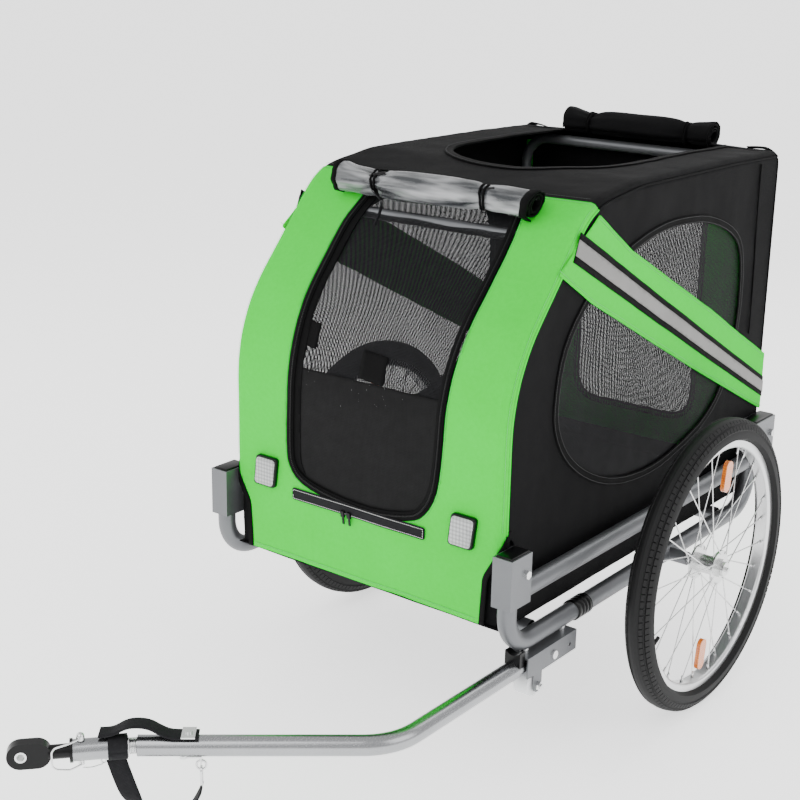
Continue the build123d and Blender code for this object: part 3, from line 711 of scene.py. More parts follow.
def drape(name, bm, lay, material, slotName, thickness, offset=-1.0, squashes=True):
    flat = bm.loops.layers.uv.new("flat")
    for face in bm.faces:
        for loop in face.loops:
            loop[flat].uv = (loop.vert.co.x / 1000, loop.vert.co.y / 1000)
    for vert in bm.verts:
        vert.co = lay(vert.co.x, vert.co.y)
    bm.normal_update()
    outwards = sum(face.normal.dot(face.calc_center_median() - heart) * face.calc_area() for face in bm.faces)
    if outwards < 0:
        bmesh.ops.reverse_faces(bm, faces=bm.faces)
    piece = newPiece(name, bm, material, slotName)
    thicken(piece, thickness, offset)
    return foldsWithCabin(piece) if squashes else piece


def offsetOutline(outline, distance, closed=True):  # the same outline, further in by distance
    area = sum(a[0] * b[1] - b[0] * a[1] for a, b in along(outline))
    turn = 1 if area > 0 else -1
    moved = []
    last = len(outline) - 1
    for index, here in enumerate(outline):
        before, after = Vector(outline[index - 1]), Vector(outline[(index + 1) % len(outline)])
        into, out = (Vector(here) - before).normalized(), (after - Vector(here)).normalized()
        if not closed and index in (0, last):
            into = out = into if index else out
        bisector = (Vector((-into.y, into.x)) + Vector((-out.y, out.x))).normalized() * turn
        reach = distance / max(0.5, sqrt(max(0.0, (1 + into.dot(out)) / 2)))
        moved.append(tuple(Vector(here) + bisector * reach))
    return moved


def hem(name, outline, width, lay, material, slotName, closed=True, lanes=3):  # tape bound along an edge
    inner = offsetOutline(outline, width, closed)
    bm = bmesh.new()
    layer = bm.loops.layers.uv.new("flat")
    run = 0.0
    count = len(outline)
    rows = [
        [bm.verts.new((*Vector(outline[i]).lerp(Vector(inner[i]), k / lanes), 0)) for k in range(lanes + 1)]
        for i in range(count)
    ]
    for i in range(count if closed else count - 1):
        following = (i + 1) % count
        reach = (Vector(outline[following]) - Vector(outline[i])).length
        for k in range(lanes):
            face = bm.faces.new((rows[i][k], rows[following][k], rows[following][k + 1], rows[i][k + 1]))
            for loop, (ahead, lane) in zip(
                face.loops, ((run, k), (run + reach, k), (run + reach, k + 1), (run, k + 1))
            ):
                loop[layer].uv = (lane * width / lanes / 1000, ahead / 1000)
        run += reach
    for vert in bm.verts:
        vert.co = lay(vert.co.x, vert.co.y)
    bm.normal_update()
    if sum(face.normal.dot(face.calc_center_median() - heart) for face in bm.faces) < 0:
        bmesh.ops.reverse_faces(bm, faces=bm.faces)
    piece = newPiece(name, bm, material, slotName)
    thicken(piece, cabin["tapeThickness"], 0.0)
    return foldsWithCabin(piece)


def stitches(name, lines, lay, material, slotName, pitch=4.2, length=2.9, thread=0.45, lift=0.9):
    bm = bmesh.new()
    for line in lines:
        run = 0.0
        for a, b in zip(line, line[1:]):
            a, b = Vector(a), Vector(b)
            reach = (b - a).length
            while run < reach:
                middle = a.lerp(b, run / reach)
                tip = middle + (b - a).normalized() * length / 2
                start, end = lay(*(middle * 2 - tip)), lay(*tip)
                ahead = (end - start).normalized()
                side = lay(*(middle + Vector((-(b - a).y, (b - a).x)).normalized())) - lay(*middle)
                outward = ahead.cross(side).normalized()
                if outward.dot(start - heart) < 0:
                    outward = -outward
                across = outward.cross(ahead)
                turn = Matrix((ahead, across, outward)).transposed().to_4x4()
                size = Matrix.Diagonal((length / 1000, thread * 1.7 / 1000, thread / 1000, 1))
                middlePlace = Matrix.Translation((start + end) / 2 + outward * lift / 1000)
                bmesh.ops.create_cube(bm, size=1, matrix=middlePlace @ turn @ size)
                run += pitch
            run -= reach
    return foldsWithCabin(newPiece(name, bm, material, slotName))


def smoothThrough(points, steps, closed=True):  # a smooth line or outline through a few points
    made = []
    count = len(points)
    for i in range(count if closed else count - 1):
        places = [i + k - 1 for k in range(4)]
        places = [k % count if closed else min(max(k, 0), count - 1) for k in places]
        p0, p1, p2, p3 = (Vector(points[k]) for k in places)
        for step in range(steps):
            t = step / steps
            square = (2 * p0 - 5 * p1 + 4 * p2 - p3) * t * t
            cube = (3 * p1 - p0 - 3 * p2 + p3) * t ** 3
            made.append(tuple(0.5 * ((2 * p1) + (p2 - p0) * t + square + cube)))
    return made if closed else made + [tuple(points[-1])]


def roundedOutline(corners, steps=6):  # straight edges with rounded corners, from (x, y, radius)
    made = []
    count = len(corners)
    for i in range(count):
        before, here, after = (Vector(corners[(i + k - 1) % count][:2]) for k in range(3))
        radius = corners[i][2]
        if radius < 0.5:
            made.append(tuple(here))
            continue
        into, out = (here - before).normalized(), (after - here).normalized()
        turn = into.angle(out)
        cut = min(
            radius * (sin(turn / 2) / cos(turn / 2)), (here - before).length * 0.49,
            (after - here).length * 0.49
        )
        start, end = here - into * cut, here + out * cut
        for step in range(steps + 1):
            t = step / steps
            made.append(tuple(start * (1 - t) ** 2 + here * 2 * t * (1 - t) + end * t * t))
    return made


def dense(outline, step, closed=True):  # the same outline with points no further apart than step
    made = []
    for a, b in along(outline, closed):
        a, b = Vector(a), Vector(b)
        count = max(1, ceil((b - a).length / step))
        made += [tuple(a.lerp(b, k / count)) for k in range(count)]
    if not closed:
        made.append(tuple(outline[-1]))
    return made


def flatArea(outline):
    return abs(sum(a[0] * b[1] - b[0] * a[1] for a, b in along(outline))) / 2e6


def declareSheet(outline, holes):
    xs, ys = [p[0] for p in outline], [p[1] for p in outline]
    area = flatArea(outline) - sum(flatArea(hole) for hole in holes)
    width, length = (max(xs) - min(xs)) / 1000, (max(ys) - min(ys)) / 1000
    if area < 0.45 * width * length:  # cut on the slant, so its own length is the diagonal
        length = hypot(width, length)
        width = area / length


# front: green panel, see-through door, closing strip

front = {
    "door": [
        (-126, 846), (-140, 815), (-148, 789), (-149, 743), (-148, 687), (-146, 625), (-146, 563),
        (-149, 464), (-143, 426), (-118, 402), (-57, 388), (18, 384), (86, 394), (117, 411), (138, 450),
        (146, 511), (149, 569), (152, 623), (155, 675), (157, 711), (158, 750), (158, 800), (152, 846)
    ],
    "wideBorder": 26,
    "doorHem": 13,
    "netEnds": 590,
    "patches": [(-122, 640, 44, 40), (12, 612, 48, 44)],
    "stripEnds": (-136, 121),
    "stripLow": 372,
    "stripHigh": 391,
}
frontSkin = frontLay()
frontOutline = dense(
    roundedOutline(
        [
            (-sideRun, seamRun, 0), (sideRun, seamRun, 0), (sideRun, frontRun(412), 30),
            (226, frontRun(345), 40), (222, bottomRun, 0), (-222, bottomRun, 0), (-226, frontRun(345), 40),
            (-sideRun, frontRun(412), 30)
        ]
    ),
    40
)
doorOutline = [(x, frontRun(z)) for x, z in front["door"]]
doorOutline = smoothThrough(doorOutline, 3, closed=False)
frontPanel = panel(
    "front_panel_cloth", frontOutline, [offsetOutline(doorOutline, -2)], frontSkin, greenCloth, "green_fabric"
)
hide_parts("front_panel")
netLine = frontRun(front["netEnds"])
doorSkin = frontLay(-2.2)
doorFull = offsetOutline(doorOutline, -6)
doorNetPiece = panel("door_net", doorFull, [], doorSkin, doorNet, "mesh_fabric", cell=9, thickness=0.0004)
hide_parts("door_mesh")
lowerDoor = [p for p in dense(doorFull, 10) if p[1] >= netLine]
lowerDoorPiece = panel(
    "door_lower_net", lowerDoor, [], frontLay(-0.6), denseNet, "mesh_fabric", cell=9, thickness=0.0005
)
doorHem = hem("door_hem", dense(doorOutline, 9), front["doorHem"], frontLay(1.0), blackTape, "black_fabric")
leftEdge = [p for p in doorOutline if p[0] < -100 and p[1] < frontRun(410)]
leftEdge.sort(key=lambda p: p[1])
leftBand = dense(leftEdge + [(x + front["wideBorder"], run) for x, run in reversed(leftEdge)], 12)
panel("door_zip_band", leftBand, [], frontLay(0.2), blackTape, "black_fabric", cell=8)
zipLine = [(x + 1.5, run) for x, run in dense(offsetOutline(doorOutline, front["doorHem"] * 0.5), 5)]
zipTeeth = stitches(
    "door_zip_teeth", [zipLine], frontLay(2.0), blackNylon, "black_plastic", pitch=2.6, length=1.5,
    thread=1.5, lift=0.3
)
edgeRuns = range(int(seamRun) + 4, int(frontRun(415)), 8)
frontSeams = [dense(offsetOutline(doorOutline, -4), 8)]
frontSeams += [[(x, run) for run in edgeRuns] for x in (8 - sideRun, sideRun - 8)]
frontSeams += [
    [(x, seamRun + 5) for x in range(-250, 251, 10)], [(x, bottomRun - 7) for x in range(-215, 216, 10)]
]
frontStitches = stitches("front_stitches", frontSeams, frontSkin, greenThread, "green_fabric")
declareSheet(frontOutline, [doorOutline])
declareSheet(doorFull, [])
declareSheet(lowerDoor, [])
for index, (x, z, wide, high) in enumerate(front["patches"]):
    run = frontRun(z)
    square = roundedOutline(
        [
            (x - wide / 2, run - high / 2, 4), (x + wide / 2, run - high / 2 + 4, 4),
            (x + wide / 2, run + high / 2 + 4, 4), (x - wide / 2, run + high / 2, 4)
        ],
        3
    )
    panel(
        "door_patch_" + str(index + 1), dense(square, 12), [], frontLay(-0.4), blackTape, "black_fabric",
        cell=8
    )

west, east = front["stripEnds"]
high, low = frontRun(front["stripHigh"]), frontRun(front["stripLow"])
stripCorners = [(west, high, 4), (east, high, 4), (east, low, 4), (west, low, 4)]
stripOutline = dense(roundedOutline(stripCorners, 3), 15)
stripSkin = frontLay(2.6)
panel("closing_strip", stripOutline, [], stripSkin, webbingWeave, "webbing", cell=6)
stitches(
    "closing_strip_stitches", [dense(offsetOutline(stripOutline, 2.5), 8)], stripSkin, whiteThread, "webbing",
    pitch=3.6, length=2.2
)


def zipPuller(name, x, z, hang):
    bm = bmesh.new()
    runs = frontRun(z)
    lay = frontLay(4.5)
    top, low = lay(x, runs), lay(x + 1.5, runs + hang)
    ahead = (low - top).normalized()
    side = Vector((1, 0, 0))
    outward = side.cross(ahead).normalized()
    turn = Matrix((side, ahead, outward)).transposed().to_4x4()
    bmesh.ops.create_cube(
        bm, size=1, matrix=Matrix.Translation(top) @ turn @ Matrix.Diagonal((0.007, 0.010, 0.004, 1))
    )
    bmesh.ops.create_cube(
        bm, size=1,
        matrix=Matrix.Translation(top.lerp(low, 0.6)) @ turn @ Matrix.Diagonal(
            (0.0045, hang / 1000, 0.0018, 1)
        )
    )
    piece = softEdges(newPiece(name, bm, blackNylon, "black_plastic", smooth=False), 0.0008)
    return foldsWithCabin(piece)


zipPuller("zip_puller_1", -33, 374, 15)
zipPuller("zip_puller_2", -21, 374, 15)
cornerSkin = overCabin(lift=-6.0, sag=0.0, folds=3.0, seed=9.0)
for side, name in ((1, "left"), (-1, "right")):
    corner = [
        (side * x, run) for x,
        run in dense(
            [
                (200, frontRun(425)), (sideRun + 24, frontRun(425)), (sideRun + 24, bottomRun),
                (200, bottomRun)
            ],
            20
        )
    ]
    panel("corner_gusset_" + name, corner, [], cornerSkin, blackCloth, "black_fabric", cell=7)
    edge = [
        (side * x, run) for x,
        run in roundedOutline(
            [
                (sideRun, frontRun(412) - 12, 0), (sideRun, frontRun(412), 30), (226, frontRun(345), 40),
                (222, bottomRun, 0)
            ]
        )[:-1] + [(222, bottomRun)]
    ]
    edge = dense(edge[1:], 8, closed=False)
    hem(
        "corner_binding_" + name, edge if side < 0 else edge[::-1], 9, frontLay(1.0), blackTape,
        "black_fabric", closed=False
    )
print("front panel and door sewn")

# sides: black panels, net windows, green bands with reflective stripes

sides = {
    "window": [
        (-144, 774), (-40, 794), (90, 787), (195, 748), (232, 690), (234, 574), (187, 475), (100, 424),
        (-40, 398), (-176, 417), (-285, 476), (-334, 555), (-318, 655), (-240, 735)
    ],
    "band": [
        (-249, 839), (-146, 772), (128, 632), (350.5, 511), (351, 408), (67, 548), (-257, 712), (-348, 768)
    ],
    "stripe": [(-303, 812), (350.8, 460), (350.9, 440), (-311, 790)],
    "windowHem": 13,
}
sideOutline = [tuple(p) for p in offsetOutline([tuple(p) for p in profileLine], 10.5)]
sideOutline[0], sideOutline[-1] = (354, 267), (-430, 267)
sideOutline = [(343.5, 267) if z < 300 and y > 300 else (y, z) for y, z in sideOutline]
frontEdge = [(-448.5, 410), (-432, 398), (-424, 380), (-424, 267)]
sideOutline = [p for p in sideOutline if not (p[0] < -400 and p[1] < 400)] + frontEdge
sideOutline = dense(sideOutline, 30)
windowOutline = smoothThrough(sides["window"], 5)
bandOutline = dense(roundedOutline([(*p, 4) for p in sides["band"]], 3), 30)


def stripeBetween(shareLow, shareHigh):
    a, b, c, d = (Vector(p) for p in sides["stripe"])
    return dense(
        [
            tuple(a.lerp(d, shareLow)), tuple(b.lerp(c, shareLow)), tuple(b.lerp(c, shareHigh)),
            tuple(a.lerp(d, shareHigh))
        ],
        30
    )


for side, name in ((1, "left"), (-1, "right")):
    skin = onSide(side)
    sideCloth = panel(
        "side_cloth_" + name, sideOutline, [windowOutline], skin, blackCloth, "black_fabric", cell=8
    )
    windowPiece = panel(
        "side_net_" + name, offsetOutline(windowOutline, -7), [], onSide(side, -2.4), windowNet,
        "mesh_fabric", cell=10, thickness=0.0004
    )
    if side > 0:
        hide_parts("side_panels")
        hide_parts("side_windows")
    windowHem = hem(
        "window_hem_" + name, dense(offsetOutline(windowOutline, -sides["windowHem"] / 2), 9),
        sides["windowHem"], onSide(side, 0.9), blackTape, "black_fabric"
    )
    stitches(
        "window_stitches_" + name,
        [dense(offsetOutline(windowOutline, -4.5), 9), dense(offsetOutline(windowOutline, 4.5), 9)],
        onSide(side, 1.8), blackThread, "black_fabric"
    )
    declareSheet(sideOutline, [windowOutline])
    declareSheet(windowOutline, [])
    bandSkin = onSide(side, 3.4)
    band = panel(
        "side_band_" + name, bandOutline, [], bandSkin, greenCloth, "green_fabric", cell=8, thickness=0.0014
    )
    if side > 0:
        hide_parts("side_bands")
    bandEdges = [dense(sides["band"][:4], 9, closed=False), dense(sides["band"][4:], 9, closed=False)]
    bandHem = [[(y, z - 6) for y, z in bandEdges[0]], [(y, z + 6) for y, z in bandEdges[1]]]
    bandStitches = stitches("band_stitches_" + name, bandHem, bandSkin, greenThread, "green_fabric", lift=0.7)
    declareSheet(bandOutline, [])
    panel(
        "stripe_backing_" + name, stripeBetween(-0.42, 1.42), [], onSide(side, 4.6), blackTape,
        "black_fabric", cell=9, thickness=0.0008
    )
    panel(
        "stripe_silver_" + name, stripeBetween(0.0, 1.0), [], onSide(side, 5.5), silverTape, "clear_plastic",
        cell=9, thickness=0.0006
    )
    seam = [onSide(side, 1.4)(y, z) for y, z in ((272, 855), (276, 760), (282, 660), (284, 560))]
    foldsWithCabin(tubePiece("side_seam_" + name, [seam], 0.0013, blackCloth, "black_fabric", rings=2))
print("side panels, windows and bands sewn")

# rear: green panel with a bound net window

rear = {"window": (-124, 124, 358, 786), "windowCorner": 52, "border": 26, "greenFrom": 297}


def rearRun(z):
    return runWhere(lambda y, height: height > z)


rearSkin = rearLay()
west, east, low, high = rear["window"]
low, high, bend = rearRun(low), rearRun(high), rear["windowCorner"]
rearCorners = [(west, low, bend), (east, low, bend), (east, high, bend), (west, high, bend)]
rearWindow = dense(roundedOutline(rearCorners), 14)
greenLow = rearRun(rear["greenFrom"])
rearOutline = dense(
    [(-sideRun, greenLow), (sideRun, greenLow), (sideRun, roofStart + 6), (-sideRun, roofStart + 6)], 30
)
rearPanel = panel("rear_panel_cloth", rearOutline, [rearWindow], rearSkin, greenCloth, "green_fabric")
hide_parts("rear_panel")
rearFoot = dense([(-sideRun, 2), (sideRun, 2), (sideRun, greenLow + 6), (-sideRun, greenLow + 6)], 30)
rearFootPiece = panel("rear_foot_cloth", rearFoot, [], rearLay(-1.6), blackCloth, "black_fabric")
rearNet = panel(
    "rear_net", offsetOutline(rearWindow, -8), [], rearLay(-2.2), windowNet, "mesh_fabric", cell=10,
    thickness=0.0004
)
rearHem = hem(
    "rear_hem", offsetOutline(rearWindow, -rear["border"] + 4), rear["border"], rearLay(1.0), blackTape,
    "black_fabric"
)
stitches(
    "rear_stitches",
    [dense(offsetOutline(rearWindow, -rear["border"] + 8), 9), dense(offsetOutline(rearWindow, -2), 9)],
    rearLay(2.0), blackThread, "black_fabric"
)
declareSheet(rearOutline, [rearWindow])
declareSheet(rearFoot, [])
declareSheet(rearWindow, [])
print("rear panel sewn")

# roof: black panel with the hatch opening

roof = {"hatchHalf": 158, "hatchNose": 19, "hatchRear": 336}
half = roof["hatchHalf"]
noseTurns = [pi * step / 24 for step in range(25)]
hatch = [(half * cos(turn), roofRun(roof["hatchNose"] - half * sin(turn))) for turn in noseTurns]
hatchEnd = roofRun(roof["hatchRear"])
hatch += [(-half, hatchEnd + 20), (18 - half, hatchEnd), (half - 18, hatchEnd), (half, hatchEnd + 20)]
hatch = dense(hatch, 14)
roofOutline = dense(
    [(-sideRun, roofStart), (sideRun, roofStart), (sideRun, seamRun + 4), (-sideRun, seamRun + 4)], 30
)
roofPanel = panel("roof_cloth", roofOutline, [hatch], roofLay(-0.5), blackCloth, "black_fabric", cell=7)
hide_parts("roof_panel")
hatchHem = hem("hatch_hem", hatch, -15, roofLay(0.8), blackTape, "black_fabric")
# painted shade: a black sheet just inside the rear top corner, darkening what shows through the hatch and
# behind its roll
innerShadeSheet = dense(
    [
        (-sideRun + 20, roofStart - 110), (sideRun - 20, roofStart - 110), (sideRun - 20, roofStart + 22),
        (-sideRun + 20, roofStart + 22)
    ],
    30
)
panel(
    "rear_top_shade_sheet", innerShadeSheet, [], overCabin(lift=-3.6, sag=2.5, folds=0.8, seed=6.0), blackCloth,
    "black_fabric", cell=9
)
stitches(
    "roof_stitches", [dense(offsetOutline(hatch, -12), 9), [(x, seamRun - 5) for x in range(-250, 251, 9)]],
    roofLay(1.4), blackThread, "black_fabric"
)
declareSheet(roofOutline, [hatch])


def piping(name, side, start, end, material, slotName):
    step = 14
    count = max(2, int((end - start) / step))
    line = []
    for index in range(count + 1):
        here, outward = profileAt(start + (end - start) * index / count)
        line.append(spot(side * 257.4, here.x - outward.x * 11, here.y - outward.y * 11))
    return foldsWithCabin(tubePiece(name, [line], 0.0015, material, slotName, rings=2))


for side, name in ((1, "left"), (-1, "right")):
    piping("rear_piping_" + name, side, 6, roofStart, blackCloth, "black_fabric")
    piping("roof_piping_" + name, side, roofStart, seamRun, blackCloth, "black_fabric")
    piping("front_piping_" + name, side, seamRun, frontRun(412), greenCloth, "green_fabric")
print("roof sewn")

# floor: pad and hanging cloth

floorPad = {"crown": 0.006, "channels": 5}


def makeFloorPad():
    low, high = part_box("floor_pad")
    bm = bmesh.new()
    bmesh.ops.create_cube(bm, size=1)
    bmesh.ops.subdivide_edges(bm, edges=bm.edges, cuts=39, use_grid_fill=True)
    size, middle = high - low, (high + low) / 2
    for vert in bm.verts:
        across, ahead = vert.co.x * 2, vert.co.y * 2
        edge = min(1.0, (1 - abs(across)) * 9) * min(1.0, (1 - abs(ahead)) * 14)
        channel = abs(sin(pi * floorPad["channels"] * (ahead + 1) / 2))
        rise = floorPad["crown"] * sqrt(max(0.0, edge)) * (0.35 + 0.65 * channel ** 0.5)
        vert.co = Vector(
            (
                middle.x + vert.co.x * (size.x - 0.004), middle.y + vert.co.y * (size.y - 0.004),
                middle.z + vert.co.z * size.z * (0.55 + 0.45 * edge)
            )
        )
        if vert.co.z > middle.z:
            vert.co.z += rise - floorPad["crown"]
            vert.co.z += noise.noise(vert.co * 14) * 0.0012
    piece = newPiece("floor_pad_cover", bm, looseWeave, "black_fabric")
    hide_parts("floor_pad")
    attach(piece, "frame")


makeFloorPad()
under = {"half": 255, "front": -457, "rear": 352, "z": 267.2}
half, frontEnd, rearEnd = under["half"], under["front"], under["rear"]
underOutline = dense([(-half, frontEnd), (half, frontEnd), (half, rearEnd), (-half, rearEnd)], 40)


def underLay(x, y):
    return spot(x, y, under["z"] + ripple((x, y), 0.012, 4.0) * 0.8)


bm = bmesh.new()
bmesh.ops.create_grid(bm, x_segments=40, y_segments=60, size=0.5)
bmesh.ops.scale(bm, vec=(2 * half, rearEnd - frontEnd, 1), verts=bm.verts)
bmesh.ops.translate(bm, vec=(0, (frontEnd + rearEnd) / 2, 0), verts=bm.verts)
underCloth = drape("floor_cloth", bm, underLay, blackCloth, "black_fabric", 0.0012, squashes=False)
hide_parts("floor_fabric")
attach(underCloth, "frame")
declareSheet(underOutline, [])
print("floor laid")

# rolled covers, their ties, and the hatch flap

rolls = {
    "rain": {
        "from": -176, "to": 184, "y": -300, "z": 851, "radius": 22, "turns": 2.6, "ties": (-99, 102),
        "binding": 12, "down": (0.752, -0.659), "rest": 19, "slack": 1.3
    },
    "hatch": {
        "from": -152, "to": 140, "y": 326, "z": 885, "radius": 26, "turns": 3.4, "ties": (-104, 92),
        "binding": 9, "down": (0, -1), "rest": 18, "slack": 0.7
    },
}


def rollShape(plan, x, angle, share, slack):  # how far from its middle line the roll's sheet lies
    pinch = 1.0
    for tie in plan["ties"]:
        pinch -= 0.3 / (1 + ((x - tie) / 14) ** 2)
    middle = 1 - ((x - (plan["from"] + plan["to"]) / 2) / ((plan["to"] - plan["from"]) / 2)) ** 2
    near = sum(1 / (1 + ((x - tie) / 26) ** 2) for tie in plan["ties"])
    crease = noise.noise(
        Vector((x * 0.011, cos(angle) * 2.2, sin(angle) * 2.2 + share * 3))
    ) * (0.14 + 0.16 * near) * slack
    flare = 0.12 / (1 + ((x - plan["to"]) / 16) ** 2) + (
        0.1 + 0.3 * slack * max(0.0, sin(angle))
    ) / (1 + ((x - plan["from"]) / 18) ** 2)
    reach = plan["radius"] * (0.35 + 0.65 * share) * (pinch + crease + flare + 0.14 * middle * slack - 0.08)
    inward = cos(angle) * plan["down"][0] + sin(angle) * plan["down"][1]
    return min(reach, plan["rest"] * (0.6 + 0.4 * share) / inward) if inward > 0.3 else reach


def rollSheet(name, plan, ends, material, slotName, thickness, slack=1.0, extra=0.0):
    bm = bmesh.new()
    flat = bm.loops.layers.uv.new("flat")
    around = int(30 * plan["turns"])
    columns = max(2, int(abs(ends[1] - ends[0]) / 5))

    def at(column, k):
        share = k / around
        angle = 2 * pi * plan["turns"] * share + 0.9
        x = ends[0] + (ends[1] - ends[0]) * column / columns
        reach = rollShape(plan, x, angle, share, slack) + extra
        lean = 0.2 * slack * max(0.0, (x - 60) / (plan["to"] - 60)) ** 3  # the near end's mouth leans over
        return spot(
            x + lean * reach * sin(angle), plan["y"] + reach * cos(angle), plan["z"] + reach * sin(angle)
        )

    row = [bm.verts.new(at(0, k)) for k in range(around + 1)]
    edges = [bm.edges.new((row[k], row[k + 1])) for k in range(around)]
    order = {vert: k for k, vert in enumerate(row)}
    for column in range(1, columns + 1):
        grown = bmesh.ops.extrude_edge_only(bm, edges=edges)["geom"]
        edges = [g for g in grown if isinstance(g, bmesh.types.BMEdge)]
        fresh = [g for g in grown if isinstance(g, bmesh.types.BMVert)]
        before = {tuple(round(c, 7) for c in vert.co): k for vert, k in order.items()}
        order = {vert: before[tuple(round(c, 7) for c in vert.co)] for vert in fresh}
        for vert, k in order.items():
            vert.co = at(column, k)
        edges = [e for e in edges if e.verts[0] in order and e.verts[1] in order]
    for face in bm.faces:
        for loop in face.loops:
            loop[flat].uv = (loop.vert.co.x, loop.vert.co.z * 3)
    bmesh.ops.recalc_face_normals(bm, faces=bm.faces)
    piece = newPiece(name, bm, material, slotName)
    thicken(piece, thickness, 0.0)
    return foldsWithCabin(piece)


def tieRound(name, plan, x, wide):  # a tape tied round the roll, as two loops
    runs = []
    for shift in (-wide * 0.6, wide * 0.6):
        line = []
        for step in range(14):
            angle = 2 * pi * step / 14
            reach = rollShape(plan, x + shift, angle, 1.0, plan["slack"]) + 2.4 + 0.8 * sin(angle * 2 + shift)
            line.append(
                spot(
                    x + shift * (1 + 0.4 * sin(angle)), plan["y"] + reach * cos(angle),
                    plan["z"] + reach * sin(angle)
                )
            )
        runs.append(line)
    foldsWithCabin(tubePiece(name + "_loops", runs, 0.0019, blackTape, "black_fabric", rings=2, closed=True))


def toggle(name, middle, direction, radius=0.0026, length=0.03):
    bm = bmesh.new()
    bmesh.ops.create_cone(
        bm, cap_ends=True, segments=12, radius1=radius * 0.7, radius2=radius * 0.7, depth=length
    )
    bmesh.ops.subdivide_edges(
        bm, edges=[e for e in bm.edges if abs(e.verts[0].co.z - e.verts[1].co.z) > length / 2], cuts=7
    )
    for vert in bm.verts:
        swell = 1 + 0.5 * cos(vert.co.z / length * pi)
        vert.co.x *= swell
        vert.co.y *= swell
    turn = Vector(direction).normalized().to_track_quat("Z", "Y").to_matrix().to_4x4()
    bmesh.ops.transform(bm, matrix=Matrix.Translation(middle) @ turn, verts=bm.verts)
    return foldsWithCabin(softEdges(newPiece(name, bm, blackNylon, "black_plastic"), 0.0006))


rain, back = rolls["rain"], rolls["hatch"]
rainRoll = rollSheet(
    "rain_cover_rolled", rain, (rain["from"], rain["to"]), vinylWithPaintedHighlights, "clear_vinyl", 0.0005,
    slack=rain["slack"]
)
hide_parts("rain_cover_roll")
rollSheet(
    "rain_binding_left", rain, (rain["to"] - rain["binding"], rain["to"] + 1), blackTape, "black_fabric",
    0.0026, slack=rain["slack"], extra=0.9
)
rollSheet(
    "rain_binding_right", rain, (rain["from"] - 1, rain["from"] + rain["binding"] * 0.6), blackTape,
    "black_fabric", 0.0022, slack=rain["slack"], extra=0.6
)
hatchRoll = rollSheet(
    "hatch_cover_rolled", back, (back["from"], back["to"]), blackCloth, "black_fabric", 0.0011,
    slack=back["slack"]
)
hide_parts("hatch_cover_roll")
for side, x in (("right", rain["ties"][0]), ("left", rain["ties"][1])):
    tieRound("rain_tie_" + side, rain, x, 5)
    toggle("rain_toggle_" + side, spot(x + 3, rain["y"] - 12, rain["z"] + 13), (1.0, 0.15, 0.28))
for side, x in (("right", back["ties"][0]), ("left", back["ties"][1])):
    tieRound("hatch_tie_" + side, back, x, 3)


def strapPiece(name, points, width, across, thickness=0.0014, material=webbingWeave):
    line = lineOf([spot(*p) for p in points])
    wide = Vector(across).normalized()

    def side(index):
        tangent = (line[min(index + 1, len(line) - 1)] - line[max(index - 1, 0)]).normalized()
        return (wide - tangent * wide.dot(tangent)).normalized()
    return ribbonPiece(name, line, width, side, material, "webbing", thickness)


tail = strapPiece(
    "rain_tie_tail",
    [(-98, -318, 838), (-84, -326, 834), (-70, -332, 830), (-62, -342, 818), (-66, -352, 796)], 0.009,
    (0.3, -0.8, 0.5)
)
foldsWithCabin(tail)
for side, name in ((1, "left"), (-1, "right")):
    foldsWithCabin(
        strapPiece(
            "hatch_strap_" + name,
            [
                (side * 138, 326, 872), (side * 165, 324, 871.5), (side * 205, 318, 871.5),
                (side * 232, 306, 872)
            ],
            0.012, (0, 1, 0)
        )
    )
    foldsWithCabin(
        strapPiece(
            "hatch_tab_" + name,
            [(side * 206, 324, 873), (side * 224, 328, 875), (side * 244, 334, 873), (side * 255, 339, 860)],
            0.014, (side * 0.5, -0.7, 0.3)
        )
    )
print("covers rolled and tied")

# front reflectors, keepers on the rails, small trims


def frontReflector(name, x):
    low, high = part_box("front_reflectors")
    wide, tall, deep = 0.044, 0.050, 0.007
    middle = Vector((x / 1000, low.y + deep / 2, (low.z + high.z) / 2))
    parts = [
        ("rim", (wide, deep, tall), 0.0, blackNylon, "black_plastic", 0.003),
        ("lens", (wide - 0.005, deep, tall - 0.005), -0.0014, clearLens, "clear_plastic", 0.0022),
    ]
    for part, size, lift, material, slotName, width in parts:
        bm = bmesh.new()
        bmesh.ops.create_cube(
            bm, size=1, matrix=Matrix.Translation(middle + Vector((0, lift, 0))) @ Matrix.Diagonal((*size, 1))
        )
        for vert in bm.verts:
            vert.co.x += (vert.co.z - middle.z) * 0.12
        upright = [e for e in bm.edges if abs(e.verts[0].co.y - e.verts[1].co.y) > deep * 0.9]
        bmesh.ops.bevel(bm, geom=upright, offset=0.006, segments=4, profile=0.5, affect="EDGES", material=-1)
        face = [e for e in bm.edges if all(v.co.y < middle.y + lift for v in e.verts)]
        bmesh.ops.bevel(bm, geom=face, offset=width, segments=3, profile=0.5, affect="EDGES", material=-1)
        piece = foldsWithCabin(newPiece(name + "_" + part, bm, material, slotName))
        if part == "rim" and x > 0:
            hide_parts("front_reflectors")


frontReflector("front_reflector_left", 190)
frontReflector("front_reflector_right", -190)


